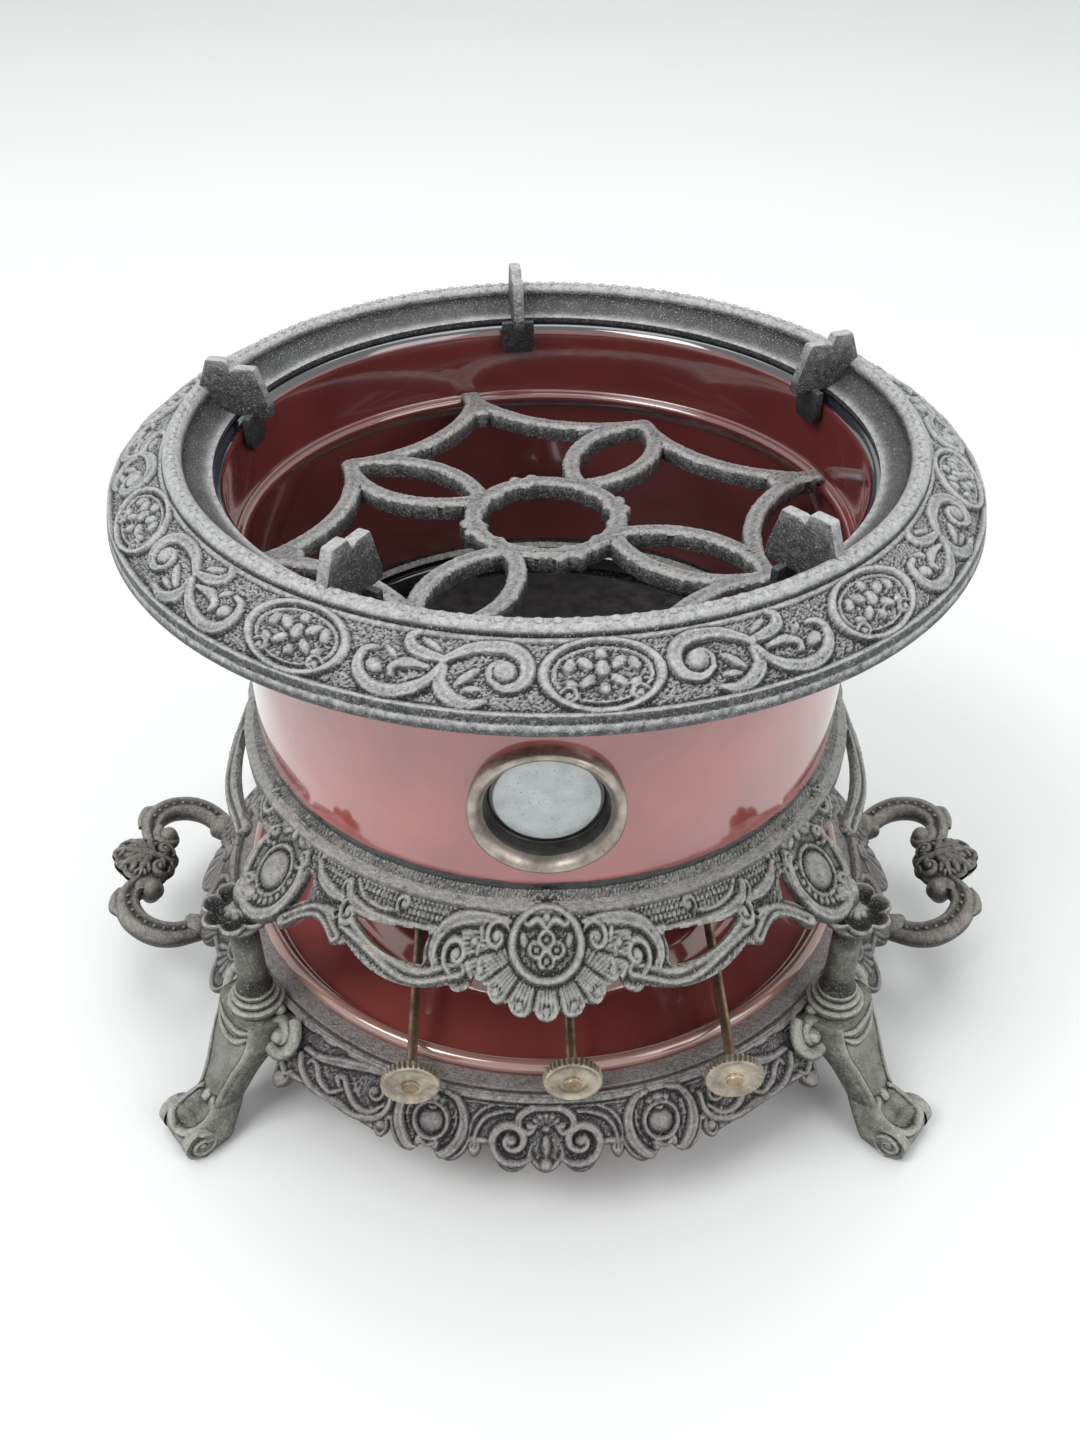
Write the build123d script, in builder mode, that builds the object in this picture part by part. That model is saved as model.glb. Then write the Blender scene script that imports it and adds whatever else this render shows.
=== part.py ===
# Three-wick oil stove on four legs: a cast base ring carries the oil tank and four columns,
# the columns carry a pierced upper frame, and an enamelled drum, a cast top ring and a loose
# grate stand on that frame. Millimetres, +Z up, -Y is the front, origin on the floor at the axis.
import os
from math import cos, degrees, radians, sin, sqrt, tan

from build123d import *

os.makedirs("parts", exist_ok=True)

# Main size: every radius follows the drum's
drum_radius = 119.4

# Top ring
ring_overhang = 40.6
rim_radius = drum_radius + ring_overhang
rim_height = 250.0
rim_edge = 4.0
ridge_stand = 15.0
ridge_radius = drum_radius + ridge_stand
ridge_rise = 19.0
ridge_half_width = 3.6
mouth_stand = 2.1
mouth_radius = drum_radius + mouth_stand
mouth_rise = 8.4
ring_wall = 4.5
ring_seat_rise = 6.0
lug_count = 5
lug_first_azimuth = 24.0
lug_thickness = 4.8
lug_rise = 30.0
lug_root = 2.6
lug_outer_radius = ridge_radius + lug_root
lug_overhang = 15.0
lug_inner_radius = mouth_radius - lug_overhang
tongue_width = 14.0
tongue_thickness = 3.2
tongue_depth = 14.0

# Cast relief of the top ring's band, places given as a distance in from the rim and degrees from an oval
band_ground_drop = 0.9
band_relief_rise = 0.5
band_edge_width = 2.2
oval_count = 10
oval_inset = 10.7
oval_half_length = 16.6
oval_half_width = 9.8
oval_rim_width = 3.0
oval_boss_half_length = 8.0
oval_boss_half_width = 3.0
band_scroll_degrees = 11.1
band_scroll_radius = 8.4
band_scroll_line = 2.6
band_scroll_eye = 2.3
band_leaf_line = 2.4
band_leaf_path = ((19.6, 14.1), (10.0, 16.8), (2.6, 12.2))
fan_inset = 6.6
fan_half_length = 7.4
fan_half_width = 3.8

# Drum
drum_sheet = 1.2
drum_foot_height = 142.4
drum_flange_width = 7.6
drum_flange_radius = drum_radius + drum_flange_width
ledge_drop = 24.5
ledge_reach = 5.2
ledge_depth = 8.0
spigot_step = 6.8
spigot_radius = drum_radius - spigot_step
spigot_depth = 5.5
tongue_clearance = 1.2

# Window in the front of the drum
window_height = 183.5
window_radius = 22.0
bezel_radius = 27.2
bezel_stand = 4.9
bezel_bore = 20.3
bezel_tube_wall = 1.5
bezel_tube_depth = 7.4
glass_thickness = 1.0
glass_seat = 0.7
glass_recess = 4.8
window_clearance = 0.2
retainer_width = 3.4
retainer_thickness = 1.3

# Grate
grate_thickness = 7.0
grate_bar = 7.0
grate_tip_thickness = 3.0
grate_tip_gap = 2.8
grate_tip_radius = drum_radius - grate_tip_gap
grate_tip_width = 8.0
grate_tip_azimuth = 17.0
grate_star_inset = 25.6
grate_petal_reach = grate_tip_radius - grate_star_inset
grate_petal_root = 29.0
grate_petal_width = 30.0
grate_hub_radius = 28.0
grate_dip_inset = 37.6
grate_dip_radius = grate_tip_radius - grate_dip_inset
grate_clearance = 0.8

# Columns stand outside the drum
column_offset = 51.0
column_stand = 31.6
column_radius = drum_radius + column_stand

# Upper frame
frame_flange_width = 6.6
frame_flange_radius = drum_radius + frame_flange_width
frame_bevel = 1.6
frame_seat_width = 8.5
frame_lead_in = 1.2
frame_ledge_height = 133.0
frame_ledge_width = 11.6
frame_ledge_radius = spigot_radius - frame_ledge_width
frame_ledge_thickness = 3.5
spigot_clearance = 0.4
apron_root = 1.4
apron_top_radius = drum_radius - apron_root
apron_top_height = 145.8
apron_slope = 28.0 / 29.0
apron_overhang = 9.0
apron_reach = column_radius + apron_overhang
apron_wall = 3.5
apron_panel_width = 12.1
apron_panel_radius = drum_radius + apron_panel_width
strap_width = 5.4
shell_stand = 11.6
shell_radius = drum_radius + shell_stand
shell_half_width = 22.5
shell_drop = 16.0
shell_lobe_radius = 5.0
shell_lobes = 9
cartouche_inset = 13.5
cartouche_radius = column_radius - cartouche_inset
cartouche_offset = 48.0
cartouche_size = 14.0
relief_height = 1.6
cup_radius = 9.0
cup_lobe_radius = 4.2
cup_lobes = 7
cup_thickness = 4.5
cup_neck_radius = 8.0

# Straps of the apron, points given as a distance in from the columns' circle and degrees from the front
front_strap_path = ((13.0, 10.0), (7.4, 19.5), (18.0, 34.5))
arch_path = ((5.0, 31.5), (14.0, 36.5), (5.0, 41.5))
side_strap_path = ((14.0, 60.0), (17.0, 72.0), (27.0, 89.0))
strap_bosses = ((5.0, 31.5, 3.4), (18.0, 36.5, 7.0), (9.5, 12.5, 5.0))

# Columns and tie bolts
column_foot_height = 58.0
column_top_height = 108.0
column_shaft_radius = 6.2
collar_radius = 11.5
capital_radius = 8.5
tie_bolt_radius = 3.0
tie_bolt_depth = 3.6
bolt_clearance = 0.15
bolt_head_radius = 5.5
bolt_head_thickness = 4.0
head_clearance = 0.8

# Base ring
base_flange_height = 57.0
base_flange_thickness = 4.5
column_inset = 8.0
base_flange_radius = column_radius - column_inset
base_flange_width = 13.5
base_bore = base_flange_radius - base_flange_width
base_slope = 21.0 / 15.5
base_wall = 4.5
base_overhang = 11.5
base_reach = base_flange_radius + base_overhang
base_lobe_overhang = 18.0
base_lobe_reach = base_flange_radius + base_lobe_overhang
side_lobe_overhang = 20.0
side_lobe_reach = base_flange_radius + side_lobe_overhang
notch_clearance = 0.3

# Cast relief of the base ring: degrees from the front, distance out from the flange, half length and
# half width of each boss, then the ovals with their rims
base_ground_drop = 1.5
base_moulding_width = 2.6
base_bosses = (
    (0.0, 10.1, 14.0, 5.9),
    (0.0, 4.2, 5.5, 3.0),
    (31.0, 8.9, 8.5, 4.6),
    (38.5, 12.8, 3.9, 2.5),
    (65.0, 8.3, 10.0, 4.5),
    (90.0, 11.0, 16.0, 6.8),
)
base_oval_degrees = (18.7, 78.0)
base_oval_stand = 8.6
base_oval_length = 13.2
base_oval_width = 7.6
base_oval_hole_length = 9.2
base_oval_hole_width = 4.1
base_oval_boss_length = 5.4
base_oval_boss_width = 2.4
foot_pad_radius = 8.5

# Legs
leg_half_width = 15.0
ankle_half_width = 9.0
toe_half_width = 13.0
toe_stand = 47.0
toe_reach = column_radius + toe_stand
toe_roll_radius = 7.5
leg_lug_inset = 9.5
leg_lug_radius = base_flange_radius - leg_lug_inset
leg_bolt_inset = 5.0
leg_bolt_circle = base_flange_radius - leg_bolt_inset
leg_bolt_radius = 2.4
leg_bolt_length = 9.0
leg_bolt_head_radius = 4.0
leg_bolt_head_thickness = 3.5
leg_lug_height = 46.5

# Handles
handle_attach_stand = 18.5
handle_attach_radius = base_flange_radius + handle_attach_stand
handle_attach_height = 34.0
handle_spread = 12.0
handle_tilt = 18.0
handle_bar_radius = 4.5
handle_foot_radius = 6.5
handle_lobe_width = 42.0
handle_lobe_reach = 20.0
handle_turn_reach = 36.0
handle_turn_width = 27.0
handle_curl_width = 16.5
handle_curl_radius = 5.8
handle_boss_reach = 31.5
handle_boss_length = 15.5
handle_boss_width = 11.5
handle_boss_thickness = 9.0
handle_leaf_radius = 3.6
handle_leaves = 7
handle_bolt_radius = 2.0
handle_bolt_length = 11.0
handle_bolt_head_radius = 3.8
handle_bolt_head_thickness = 2.4

# Oil tank
tank_turn = 1.5
pan_clearance = 2.0
pan_radius = base_bore - pan_clearance
tank_sheet = 1.0
pan_bottom_height = 22.0
tank_rim_overlap = 4.3
tank_rim_radius = base_bore + tank_rim_overlap
tank_rim_roll = 3.0
tank_channel_height = 56.0
tank_plateau_height = 64.0
tank_channel_width = 39.5
tank_plateau_radius = pan_radius - tank_channel_width
tank_step_width = 5.5
tank_top_clearance = 0.6

# Filler at the back of the tank
filler_inset = 17.0
filler_radius = pan_radius - filler_inset
neck_radius = 11.5
neck_wall = 1.5
neck_rise = 10.0
neck_flange = 2.0
gasket_thickness = 1.5
gasket_width = 2.5
cap_clearance = 0.3
cap_wall = 2.2
cap_skirt = 5.5
cap_teeth = 24

# Flame plate and draught gallery
flame_plate_inset = 4.6
flame_plate_radius = spigot_radius - flame_plate_inset
flame_plate_thickness = 1.2
flame_slot_clearance = 2.0
flame_lip_wall = 1.0
flame_lip_rise = 6.0
gallery_inset = 24.0
gallery_radius = flame_plate_radius - gallery_inset
gallery_wall = 1.0
gallery_drop = 32.0
gallery_holes = 30
gallery_hole_radius = 4.0

# Wicks, wick tubes and winders
wick_inset = 23.6
wick_pitch = gallery_radius - wick_inset
wick_width = 66.0
wick_thickness = 4.0
wick_foot_height = 28.0
wick_clearance = 0.4
tube_wall = 0.8
tube_foot_height = 50.0
tube_top_height = 131.0
tube_flange_thickness = 1.0
slot_clearance = 0.3
spindle_height = 69.7
spindle_radius = 2.0
spindle_clearance = 0.05
spindle_tail = 0.4
star_tip_radius = 3.8
star_root_radius = 2.7
star_thickness = 2.0
star_teeth = 10
star_pitch = 22.0
star_clearance = 0.3
housing_wall = 1.0
housing_length = 74.0
housing_top_gap = 1.0
gland_radius = 5.3
gland_length = 7.0
knob_radius = 11.25
knob_thickness = 4.0
knob_stand = 2.5
knob_face_reach = base_flange_radius + knob_stand
knob_knurl_depth = 0.6
knob_knurls = 36
knob_hub_radius = 4.2
knob_hub_length = 3.0
rivet_head_radius = 3.4
rivet_head_height = 1.2

# Derived places
ring_seat_height = rim_height + ring_seat_rise
ledge_height = rim_height - ledge_drop
drum_mid_radius = drum_radius - drum_sheet / 2
grate_top_height = ledge_height + grate_tip_thickness
grate_bottom_height = grate_top_height - grate_thickness
frame_bore = spigot_radius + spigot_clearance
spindle_offset = wick_thickness / 2 + star_clearance + star_tip_radius
tube_width = wick_width + 2 * wick_clearance + 2 * tube_wall
tube_depth = wick_thickness + 2 * wick_clearance + 2 * tube_wall
column_azimuths = {
    "front_left": -90.0 - column_offset,
    "front_right": -90.0 + column_offset,
    "rear_left": 90.0 + column_offset,
    "rear_right": 90.0 - column_offset,
}
wick_places = {"left": -wick_pitch, "middle": 0.0, "right": wick_pitch}
handle_bolt_azimuths = (-handle_spread, handle_spread, 180.0 - handle_spread, 180.0 + handle_spread)


def plan_point(radius, azimuth):
    """Point of the plan view at a distance from the axis, azimuth counted from +X."""
    return (radius * cos(radians(azimuth)), radius * sin(radians(azimuth)))


def upright(azimuth, radius=0.0):
    """Upright radial plane: X points outwards, Y up, its origin at a distance from the axis."""
    x, y = plan_point(radius, azimuth)
    across = (sin(radians(azimuth)), -cos(radians(azimuth)), 0)
    return Plane(origin=(x, y, 0), x_dir=(*plan_point(1, azimuth), 0), z_dir=across)


def facing(azimuth, reach):
    """Upright plane square to the azimuth: X runs sideways, Y up and Z outwards."""
    sideways = (-sin(radians(azimuth)), cos(radians(azimuth)), 0)
    return Plane(
        origin=(*plan_point(reach, azimuth), 0), x_dir=sideways, z_dir=(*plan_point(1, azimuth), 0)
    )


def apron_height(radius):
    """Height of the apron's outer surface, a cone that flares outwards."""
    return apron_top_height - (radius - apron_top_radius) * apron_slope


def base_height(radius):
    """Height of the base ring's sloping outer face."""
    return base_flange_height - (radius - base_flange_radius) * base_slope


def strap_points(path, azimuth, side):
    """Plan points of an apron strap, turned to one side of the front or the rear."""
    return [plan_point(column_radius - inset, azimuth + side * turn) for inset, turn in path]


def lying(radius, azimuth):
    """Place in the plan view whose X runs along the circle and whose Y points outwards."""
    return Location((*plan_point(radius, azimuth), 0), (0, 0, azimuth - 90.0))


def band_points(drop):
    """Three points of the top ring's band, lowered square to its middle."""
    inward = 0.6 * drop
    down = 0.8 * drop
    middle = ((rim_radius + ridge_radius) / 2 + 2.6, rim_height + ridge_rise / 2 + 0.4)
    inner = (ridge_radius + ridge_half_width, rim_height + ridge_rise - ridge_half_width)
    return [(x - inward, z - down) for x, z in ((rim_radius, rim_height), middle, inner)]


def finish(part, name):
    """Label a finished piece and write it to its own file."""
    part.label = name
    export_step(part, f"parts/{name}.step")


# Top ring: a flat seat rests on the drum's flange, five lugs carry a pot
ridge_height = rim_height + ridge_rise
ridge_side = ridge_height - ridge_half_width
mouth_height = rim_height + mouth_rise
seat_edge = drum_flange_radius + 1.0
hollow_height = ridge_height - ridge_half_width - ring_wall
ridge_foot = ridge_radius + ridge_half_width
with BuildPart() as band_relief:
    with BuildSketch(Plane.XZ) as band_layer:
        with BuildLine():
            outer_face = ThreePointArc(*band_points(-band_relief_rise))
            inner_face = ThreePointArc(*band_points(2 * band_ground_drop))
            Line(outer_face @ 0, inner_face @ 0)
            Line(outer_face @ 1, inner_face @ 1)
        make_face()
    revolve(axis=Axis.Z)
    with BuildSketch(Plane.XY.offset(rim_height - rim_edge)) as band_plan:
        for number in range(oval_count):
            oval_azimuth = lug_first_azimuth + number * 360.0 / oval_count
            with Locations(lying(rim_radius - oval_inset, oval_azimuth)):
                Ellipse(oval_half_length, oval_half_width)
                Ellipse(
                    oval_half_length - oval_rim_width, oval_half_width - oval_rim_width, mode=Mode.SUBTRACT
                )
                Ellipse(oval_boss_half_length, oval_boss_half_width)
            for side in (-1, 1):
                with Locations(lying(rim_radius - oval_inset, oval_azimuth + side * band_scroll_degrees)):
                    Circle(band_scroll_radius)
                    Circle(band_scroll_radius - band_scroll_line, mode=Mode.SUBTRACT)
                    Circle(band_scroll_eye)
                with BuildLine() as leaf_line:
                    ThreePointArc(
                        *(
                            plan_point(rim_radius - inset, oval_azimuth + side * turn)
                            for inset, turn in band_leaf_path
                        )
                    )
                trace(leaf_line.line, line_width=band_leaf_line)
            with Locations(lying(rim_radius - fan_inset, oval_azimuth + 180.0 / oval_count)):
                Ellipse(fan_half_length, fan_half_width)
        Circle(ridge_foot, mode=Mode.SUBTRACT)
        with BuildSketch(mode=Mode.PRIVATE) as edge_ring:
            Circle(rim_radius)
            Circle(rim_radius - band_edge_width, mode=Mode.SUBTRACT)
        add(edge_ring.sketch)
        Circle(rim_radius, mode=Mode.INTERSECT)
    extrude(amount=ridge_rise + rim_edge, mode=Mode.INTERSECT)
with BuildPart() as top_ring:
    with BuildSketch(Plane.XZ) as ring_section:
        with BuildLine():
            band_start, band_middle, band_end = band_points(band_ground_drop)
            edge_line = Polyline(
                (rim_radius, rim_height - rim_edge), (rim_radius, rim_height - 2 * band_ground_drop), band_start
            )
            band_line = ThreePointArc(band_start, band_middle, band_end)
            band_step = Line(band_end, (ridge_foot, ridge_side))
            ridge_line = ThreePointArc(
                band_step @ 1, (ridge_radius, ridge_height), (ridge_radius - ridge_half_width, ridge_side)
            )
            cove_line = ThreePointArc(
                ridge_line @ 1,
                ((ridge_radius + mouth_radius) / 2 - 1.6, (ridge_height + mouth_height) / 2 - 3.2),
                (mouth_radius, mouth_height),
            )
            Polyline(
                cove_line @ 1,
                (mouth_radius, ring_seat_height),
                (seat_edge, ring_seat_height),
                (seat_edge, hollow_height),
                (ridge_radius + ridge_half_width - 1.0, hollow_height),
                (rim_radius - ring_wall, rim_height - rim_edge),
                edge_line @ 0,
            )
        make_face()
    revolve(axis=Axis.Z)
    add(band_relief.part)
    for number in range(lug_count):
        lug_azimuth = lug_first_azimuth + number * 360.0 / lug_count
        lug_top = rim_height + lug_rise
        with BuildSketch(upright(lug_azimuth)) as lug_outline:
            Polygon(
                (lug_outer_radius, ridge_side - ring_wall),
                (lug_outer_radius - 1.0, ridge_height - 3.0),
                (lug_outer_radius - 6.0, lug_top),
                (lug_outer_radius - 14.5, lug_top),
                (lug_outer_radius - 16.5, lug_top - 3.8),
                (lug_outer_radius - 18.0, lug_top - 2.6),
                (lug_outer_radius - 25.5, lug_top - 2.6),
                (lug_inner_radius, mouth_height + 3.8),
                (lug_inner_radius, mouth_height - 0.8),
                (mouth_radius + 1.0, mouth_height - 0.8),
                (mouth_radius + 6.0, mouth_height),
                align=None,
            )
        extrude(amount=lug_thickness / 2, both=True)
        tongue_outer = drum_radius - drum_sheet - tongue_clearance
        with BuildSketch(facing(lug_azimuth, tongue_outer - tongue_thickness)) as tongue_outline:
            with Locations((0, mouth_height + 1.0 - tongue_depth / 2)):
                Rectangle(tongue_width, tongue_depth)
            fillet(tongue_outline.vertices().group_by(Axis.Z)[0], tongue_width / 3)
        extrude(amount=tongue_thickness)
finish(top_ring.part, "top_ring")

# Drum: one enamelled sheet with a flange above, an inward ledge for the grate and a stepped foot
with BuildPart() as drum_shell:
    with BuildSketch(Plane.XZ) as drum_section:
        with BuildLine() as drum_line:
            FilletPolyline(
                (drum_flange_radius, ring_seat_height - drum_sheet / 2),
                (drum_mid_radius, ring_seat_height - drum_sheet / 2),
                (drum_mid_radius, ledge_height - drum_sheet / 2),
                (drum_mid_radius - ledge_reach, ledge_height - drum_sheet / 2),
                (drum_mid_radius, ledge_height - ledge_depth),
                (drum_mid_radius, drum_foot_height + drum_sheet / 2),
                (spigot_radius - drum_sheet / 2, drum_foot_height + drum_sheet / 2),
                (spigot_radius - drum_sheet / 2, drum_foot_height - spigot_depth),
                radius=[4.0, 1.5, 1.5, 3.0, 2.5, 1.5],
            )
        trace(drum_line.line, line_width=drum_sheet)
    revolve(axis=Axis.Z)
    with BuildSketch(Plane.XZ.offset(drum_radius / 2)) as window_hole:
        with Locations((0, window_height)):
            Circle(window_radius)
    extrude(amount=drum_radius, mode=Mode.SUBTRACT)
finish(drum_shell.part, "drum_shell")

# Window: a dished bezel saddled on the drum, its tube through the hole, glass and retaining ring
window_axis = Axis((0, 0, window_height), (0, -1, 0))
window_plane = Plane(origin=(0, 0, window_height), x_dir=(0, 0, 1), z_dir=(1, 0, 0))
glass_front = drum_radius - glass_recess
glass_back = glass_front - glass_thickness
tube_radius = window_radius - window_clearance
with BuildPart() as window_bezel:
    with BuildSketch(window_plane) as flange_section:
        with BuildLine():
            bezel_edge = Line((bezel_radius, drum_radius - 5.0), (bezel_radius, drum_radius + bezel_stand - 1.6))
            bezel_crest = ThreePointArc(
                bezel_edge @ 1,
                (bezel_radius - 0.9, drum_radius + bezel_stand - 0.2),
                (bezel_radius - 2.2, drum_radius + bezel_stand),
            )
            bezel_dish = ThreePointArc(
                bezel_crest @ 1,
                (bezel_radius - 5.4, drum_radius + 1.3),
                (bezel_bore, drum_radius + 0.6),
            )
            Polyline(bezel_dish @ 1, (bezel_bore, drum_radius - 5.0), bezel_edge @ 0)
        make_face()
    revolve(axis=window_axis)
    Cylinder(drum_radius + 0.05, 3 * window_height, mode=Mode.SUBTRACT)
    with BuildSketch(window_plane) as tube_section:
        Polygon(
            (bezel_bore, drum_radius + 0.6),
            (bezel_bore, glass_front),
            (bezel_bore + glass_seat, glass_front),
            (bezel_bore + glass_seat, drum_radius - bezel_tube_depth),
            (tube_radius, drum_radius - bezel_tube_depth),
            (tube_radius, drum_radius + 0.6),
            align=None,
        )
    revolve(axis=window_axis)
finish(window_bezel.part, "window_bezel")

with BuildPart() as window_glass:
    with BuildSketch(Plane.XZ.offset(glass_back)) as glass_disc:
        with Locations((0, window_height)):
            Circle(bezel_bore + glass_seat - window_clearance / 2)
    extrude(amount=glass_thickness)
finish(window_glass.part, "window_glass")

with BuildPart() as window_retainer:
    with BuildSketch(Plane.XZ.offset(glass_back - retainer_thickness)) as retainer_ring:
        with Locations((0, window_height)):
            Circle(bezel_bore + glass_seat - window_clearance / 4)
            Circle(bezel_bore + glass_seat - retainer_width, mode=Mode.SUBTRACT)
    extrude(amount=retainer_thickness)
finish(window_retainer.part, "window_retainer")

# Grate: four pointed loops round a hub and a concave star whose tips lie on the drum's ledge
with BuildPart() as grate:
    with BuildSketch(Plane.XY.offset(grate_bottom_height)) as grate_plan:
        with BuildLine() as hub_line:
            CenterArc((0, 0), grate_hub_radius, 0, 360)
        trace(hub_line.line, line_width=grate_bar)
        for number in range(4):
            tip_azimuth = grate_tip_azimuth + number * 90.0
            petal_azimuth = tip_azimuth + 45.0
            petal_mid = (grate_petal_root + grate_petal_reach) / 2
            swing = degrees(grate_petal_width / 2 / petal_mid)
            for side in (-1, 1):
                with BuildLine() as petal_line:
                    ThreePointArc(
                        plan_point(grate_petal_root, petal_azimuth),
                        plan_point(petal_mid, petal_azimuth + side * swing),
                        plan_point(grate_petal_reach, petal_azimuth),
                    )
                trace(petal_line.line, line_width=grate_bar)
                with BuildLine() as star_line:
                    ThreePointArc(
                        plan_point(grate_petal_reach, petal_azimuth),
                        plan_point(grate_dip_radius, petal_azimuth + side * 22.5),
                        plan_point(grate_tip_radius - 8.0, petal_azimuth + side * 45.0),
                    )
                trace(star_line.line, line_width=grate_bar)
            with BuildLine() as tip_line:
                Line(plan_point(grate_dip_radius + 18.0, tip_azimuth), plan_point(grate_tip_radius, tip_azimuth))
            trace(tip_line.line, line_width=grate_tip_width)
            with Locations(plan_point(grate_petal_reach, petal_azimuth)):
                Circle(grate_bar / 2)
            with Locations(plan_point(grate_petal_root, petal_azimuth)):
                Circle(grate_bar / 2)
    extrude(amount=grate_thickness)
    with BuildSketch(Plane.XY.offset(grate_bottom_height)) as tip_notch:
        Circle(grate_tip_radius + 5.0)
        Circle(drum_mid_radius - ledge_reach - drum_sheet / 2 - grate_clearance, mode=Mode.SUBTRACT)
    extrude(amount=grate_thickness - grate_tip_thickness, mode=Mode.SUBTRACT)
finish(grate.part, "grate")

# Apron relief of the upper frame, a second conical layer over the cartouches and the two shells
with BuildPart() as apron_relief:
    with BuildSketch(Plane.XZ) as relief_section:
        Polygon(
            (apron_top_radius, apron_height(apron_top_radius) - 1.0),
            (apron_top_radius, apron_height(apron_top_radius) + relief_height),
            (apron_reach, apron_height(apron_reach) + relief_height),
            (apron_reach, apron_height(apron_reach) - 1.0),
            align=None,
        )
    revolve(axis=Axis.Z)
    with BuildSketch(Plane.XY.offset(apron_height(apron_reach) - 10.0)) as relief_plan:
        for azimuth in (-90, 90):
            for side in (-1, 1):
                with Locations(plan_point(cartouche_radius, azimuth + side * cartouche_offset)):
                    Circle(cartouche_size - 1.0)
                    Circle(cartouche_size - 4.5, mode=Mode.SUBTRACT)
                    Circle(cartouche_size - 6.5)
            with Locations(plan_point(shell_radius, azimuth)):
                Ellipse(shell_half_width - 1.0, shell_drop - 1.0)
                Ellipse(shell_half_width - 4.5, shell_drop - 4.0, mode=Mode.SUBTRACT)
                Circle(6.5)
    extrude(amount=apron_top_height, mode=Mode.INTERSECT)

# Upper frame: seat for the drum's foot, ledge for the flame plate, pierced conical apron,
# shell pendants front and back, and four lobed cups over the columns
with BuildPart() as upper_frame:
    with BuildSketch(Plane.XZ) as apron_section:
        apron_drop = apron_wall * sqrt(1 + apron_slope**2)
        Polygon(
            (apron_top_radius, apron_height(apron_top_radius)),
            (apron_reach, apron_height(apron_reach)),
            (apron_reach, apron_height(apron_reach) - apron_drop),
            (apron_top_radius, apron_height(apron_top_radius) - apron_drop),
            align=None,
        )
    revolve(axis=Axis.Z)
    with BuildSketch(Plane.XY.offset(apron_height(apron_reach) - 10.0)) as apron_plan:
        Circle(frame_flange_radius)
        for azimuth in (-90, 90):
            for side in (-1, 1):
                with BuildLine():
                    panel_outer = CenterArc((0, 0), apron_panel_radius, azimuth, side * 62.0)
                    panel_inner = CenterArc((0, 0), apron_top_radius, azimuth, side * 62.0)
                    Line(panel_outer @ 0, panel_inner @ 0)
                    Line(panel_outer @ 1, panel_inner @ 1)
                make_face()
                with BuildLine() as front_strap:
                    ThreePointArc(*strap_points(front_strap_path, azimuth, side))
                trace(front_strap.line, line_width=strap_width)
                with BuildLine() as arch_line:
                    ThreePointArc(*strap_points(arch_path, azimuth, side))
                trace(arch_line.line, line_width=strap_width)
                for inset, turn, boss_radius in strap_bosses:
                    with Locations(plan_point(column_radius - inset, azimuth + side * turn)):
                        Circle(boss_radius)
                with BuildLine() as side_strap:
                    ThreePointArc(*strap_points(side_strap_path, azimuth, side))
                trace(side_strap.line, line_width=strap_width)
                with Locations(plan_point(cartouche_radius, azimuth + side * cartouche_offset)):
                    Circle(cartouche_size)
            with Locations(plan_point(shell_radius, azimuth)):
                Ellipse(shell_half_width, shell_drop)
            for lobe in range(shell_lobes):
                lobe_angle = radians(180.0 * lobe / (shell_lobes - 1))
                outward = 1 if azimuth > 0 else -1
                lobe_place = (
                    shell_half_width * cos(lobe_angle),
                    outward * (shell_radius + shell_drop * sin(lobe_angle)),
                )
                with Locations(lobe_place):
                    Circle(shell_lobe_radius)
    extrude(amount=apron_top_height, mode=Mode.INTERSECT)
    add(apron_relief.part)
    for azimuth in column_azimuths.values():
        cup_plane = Plane.XY.offset(column_top_height)
        with BuildSketch(cup_plane) as cup_outline:
            with Locations(plan_point(column_radius, azimuth)):
                Circle(cup_radius)
                with PolarLocations(cup_radius, cup_lobes, start_angle=azimuth):
                    Circle(cup_lobe_radius)
        extrude(amount=cup_thickness)
        with BuildSketch(cup_plane) as cup_neck:
            with Locations(plan_point(column_radius - cup_neck_radius + 1.0, azimuth)):
                Circle(cup_neck_radius)
        extrude(amount=apron_height(column_radius - cup_neck_radius) - column_top_height)
    with BuildSketch(Plane.XZ) as seat_section:
        Polygon(
            (frame_ledge_radius, frame_ledge_height - frame_ledge_thickness),
            (frame_ledge_radius, frame_ledge_height),
            (frame_bore, frame_ledge_height),
            (frame_bore, drum_foot_height - frame_lead_in),
            (frame_bore + frame_lead_in, drum_foot_height),
            (frame_bore + frame_seat_width, drum_foot_height),
            (frame_flange_radius, drum_foot_height - frame_bevel),
            (frame_flange_radius, apron_height(frame_flange_radius) - apron_wall),
            (apron_top_radius, frame_ledge_height - frame_ledge_thickness),
            align=None,
        )
    revolve(axis=Axis.Z)
    with BuildSketch(Plane.XY.offset(frame_ledge_height)) as seat_bore:
        Circle(frame_bore)
    extrude(amount=apron_top_height, mode=Mode.SUBTRACT)
    with BuildSketch(Plane.XY.offset(drum_foot_height)) as drum_room:
        Circle(frame_bore + frame_seat_width)
    extrude(amount=apron_top_height, mode=Mode.SUBTRACT)
    for azimuth in column_azimuths.values():
        with BuildSketch(Plane.XY.offset(column_top_height)) as tie_hole:
            with Locations(plan_point(column_radius, azimuth)):
                Circle(tie_bolt_radius + bolt_clearance)
        extrude(amount=tie_bolt_depth, mode=Mode.SUBTRACT)
finish(upper_frame.part, "upper_frame")

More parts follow.
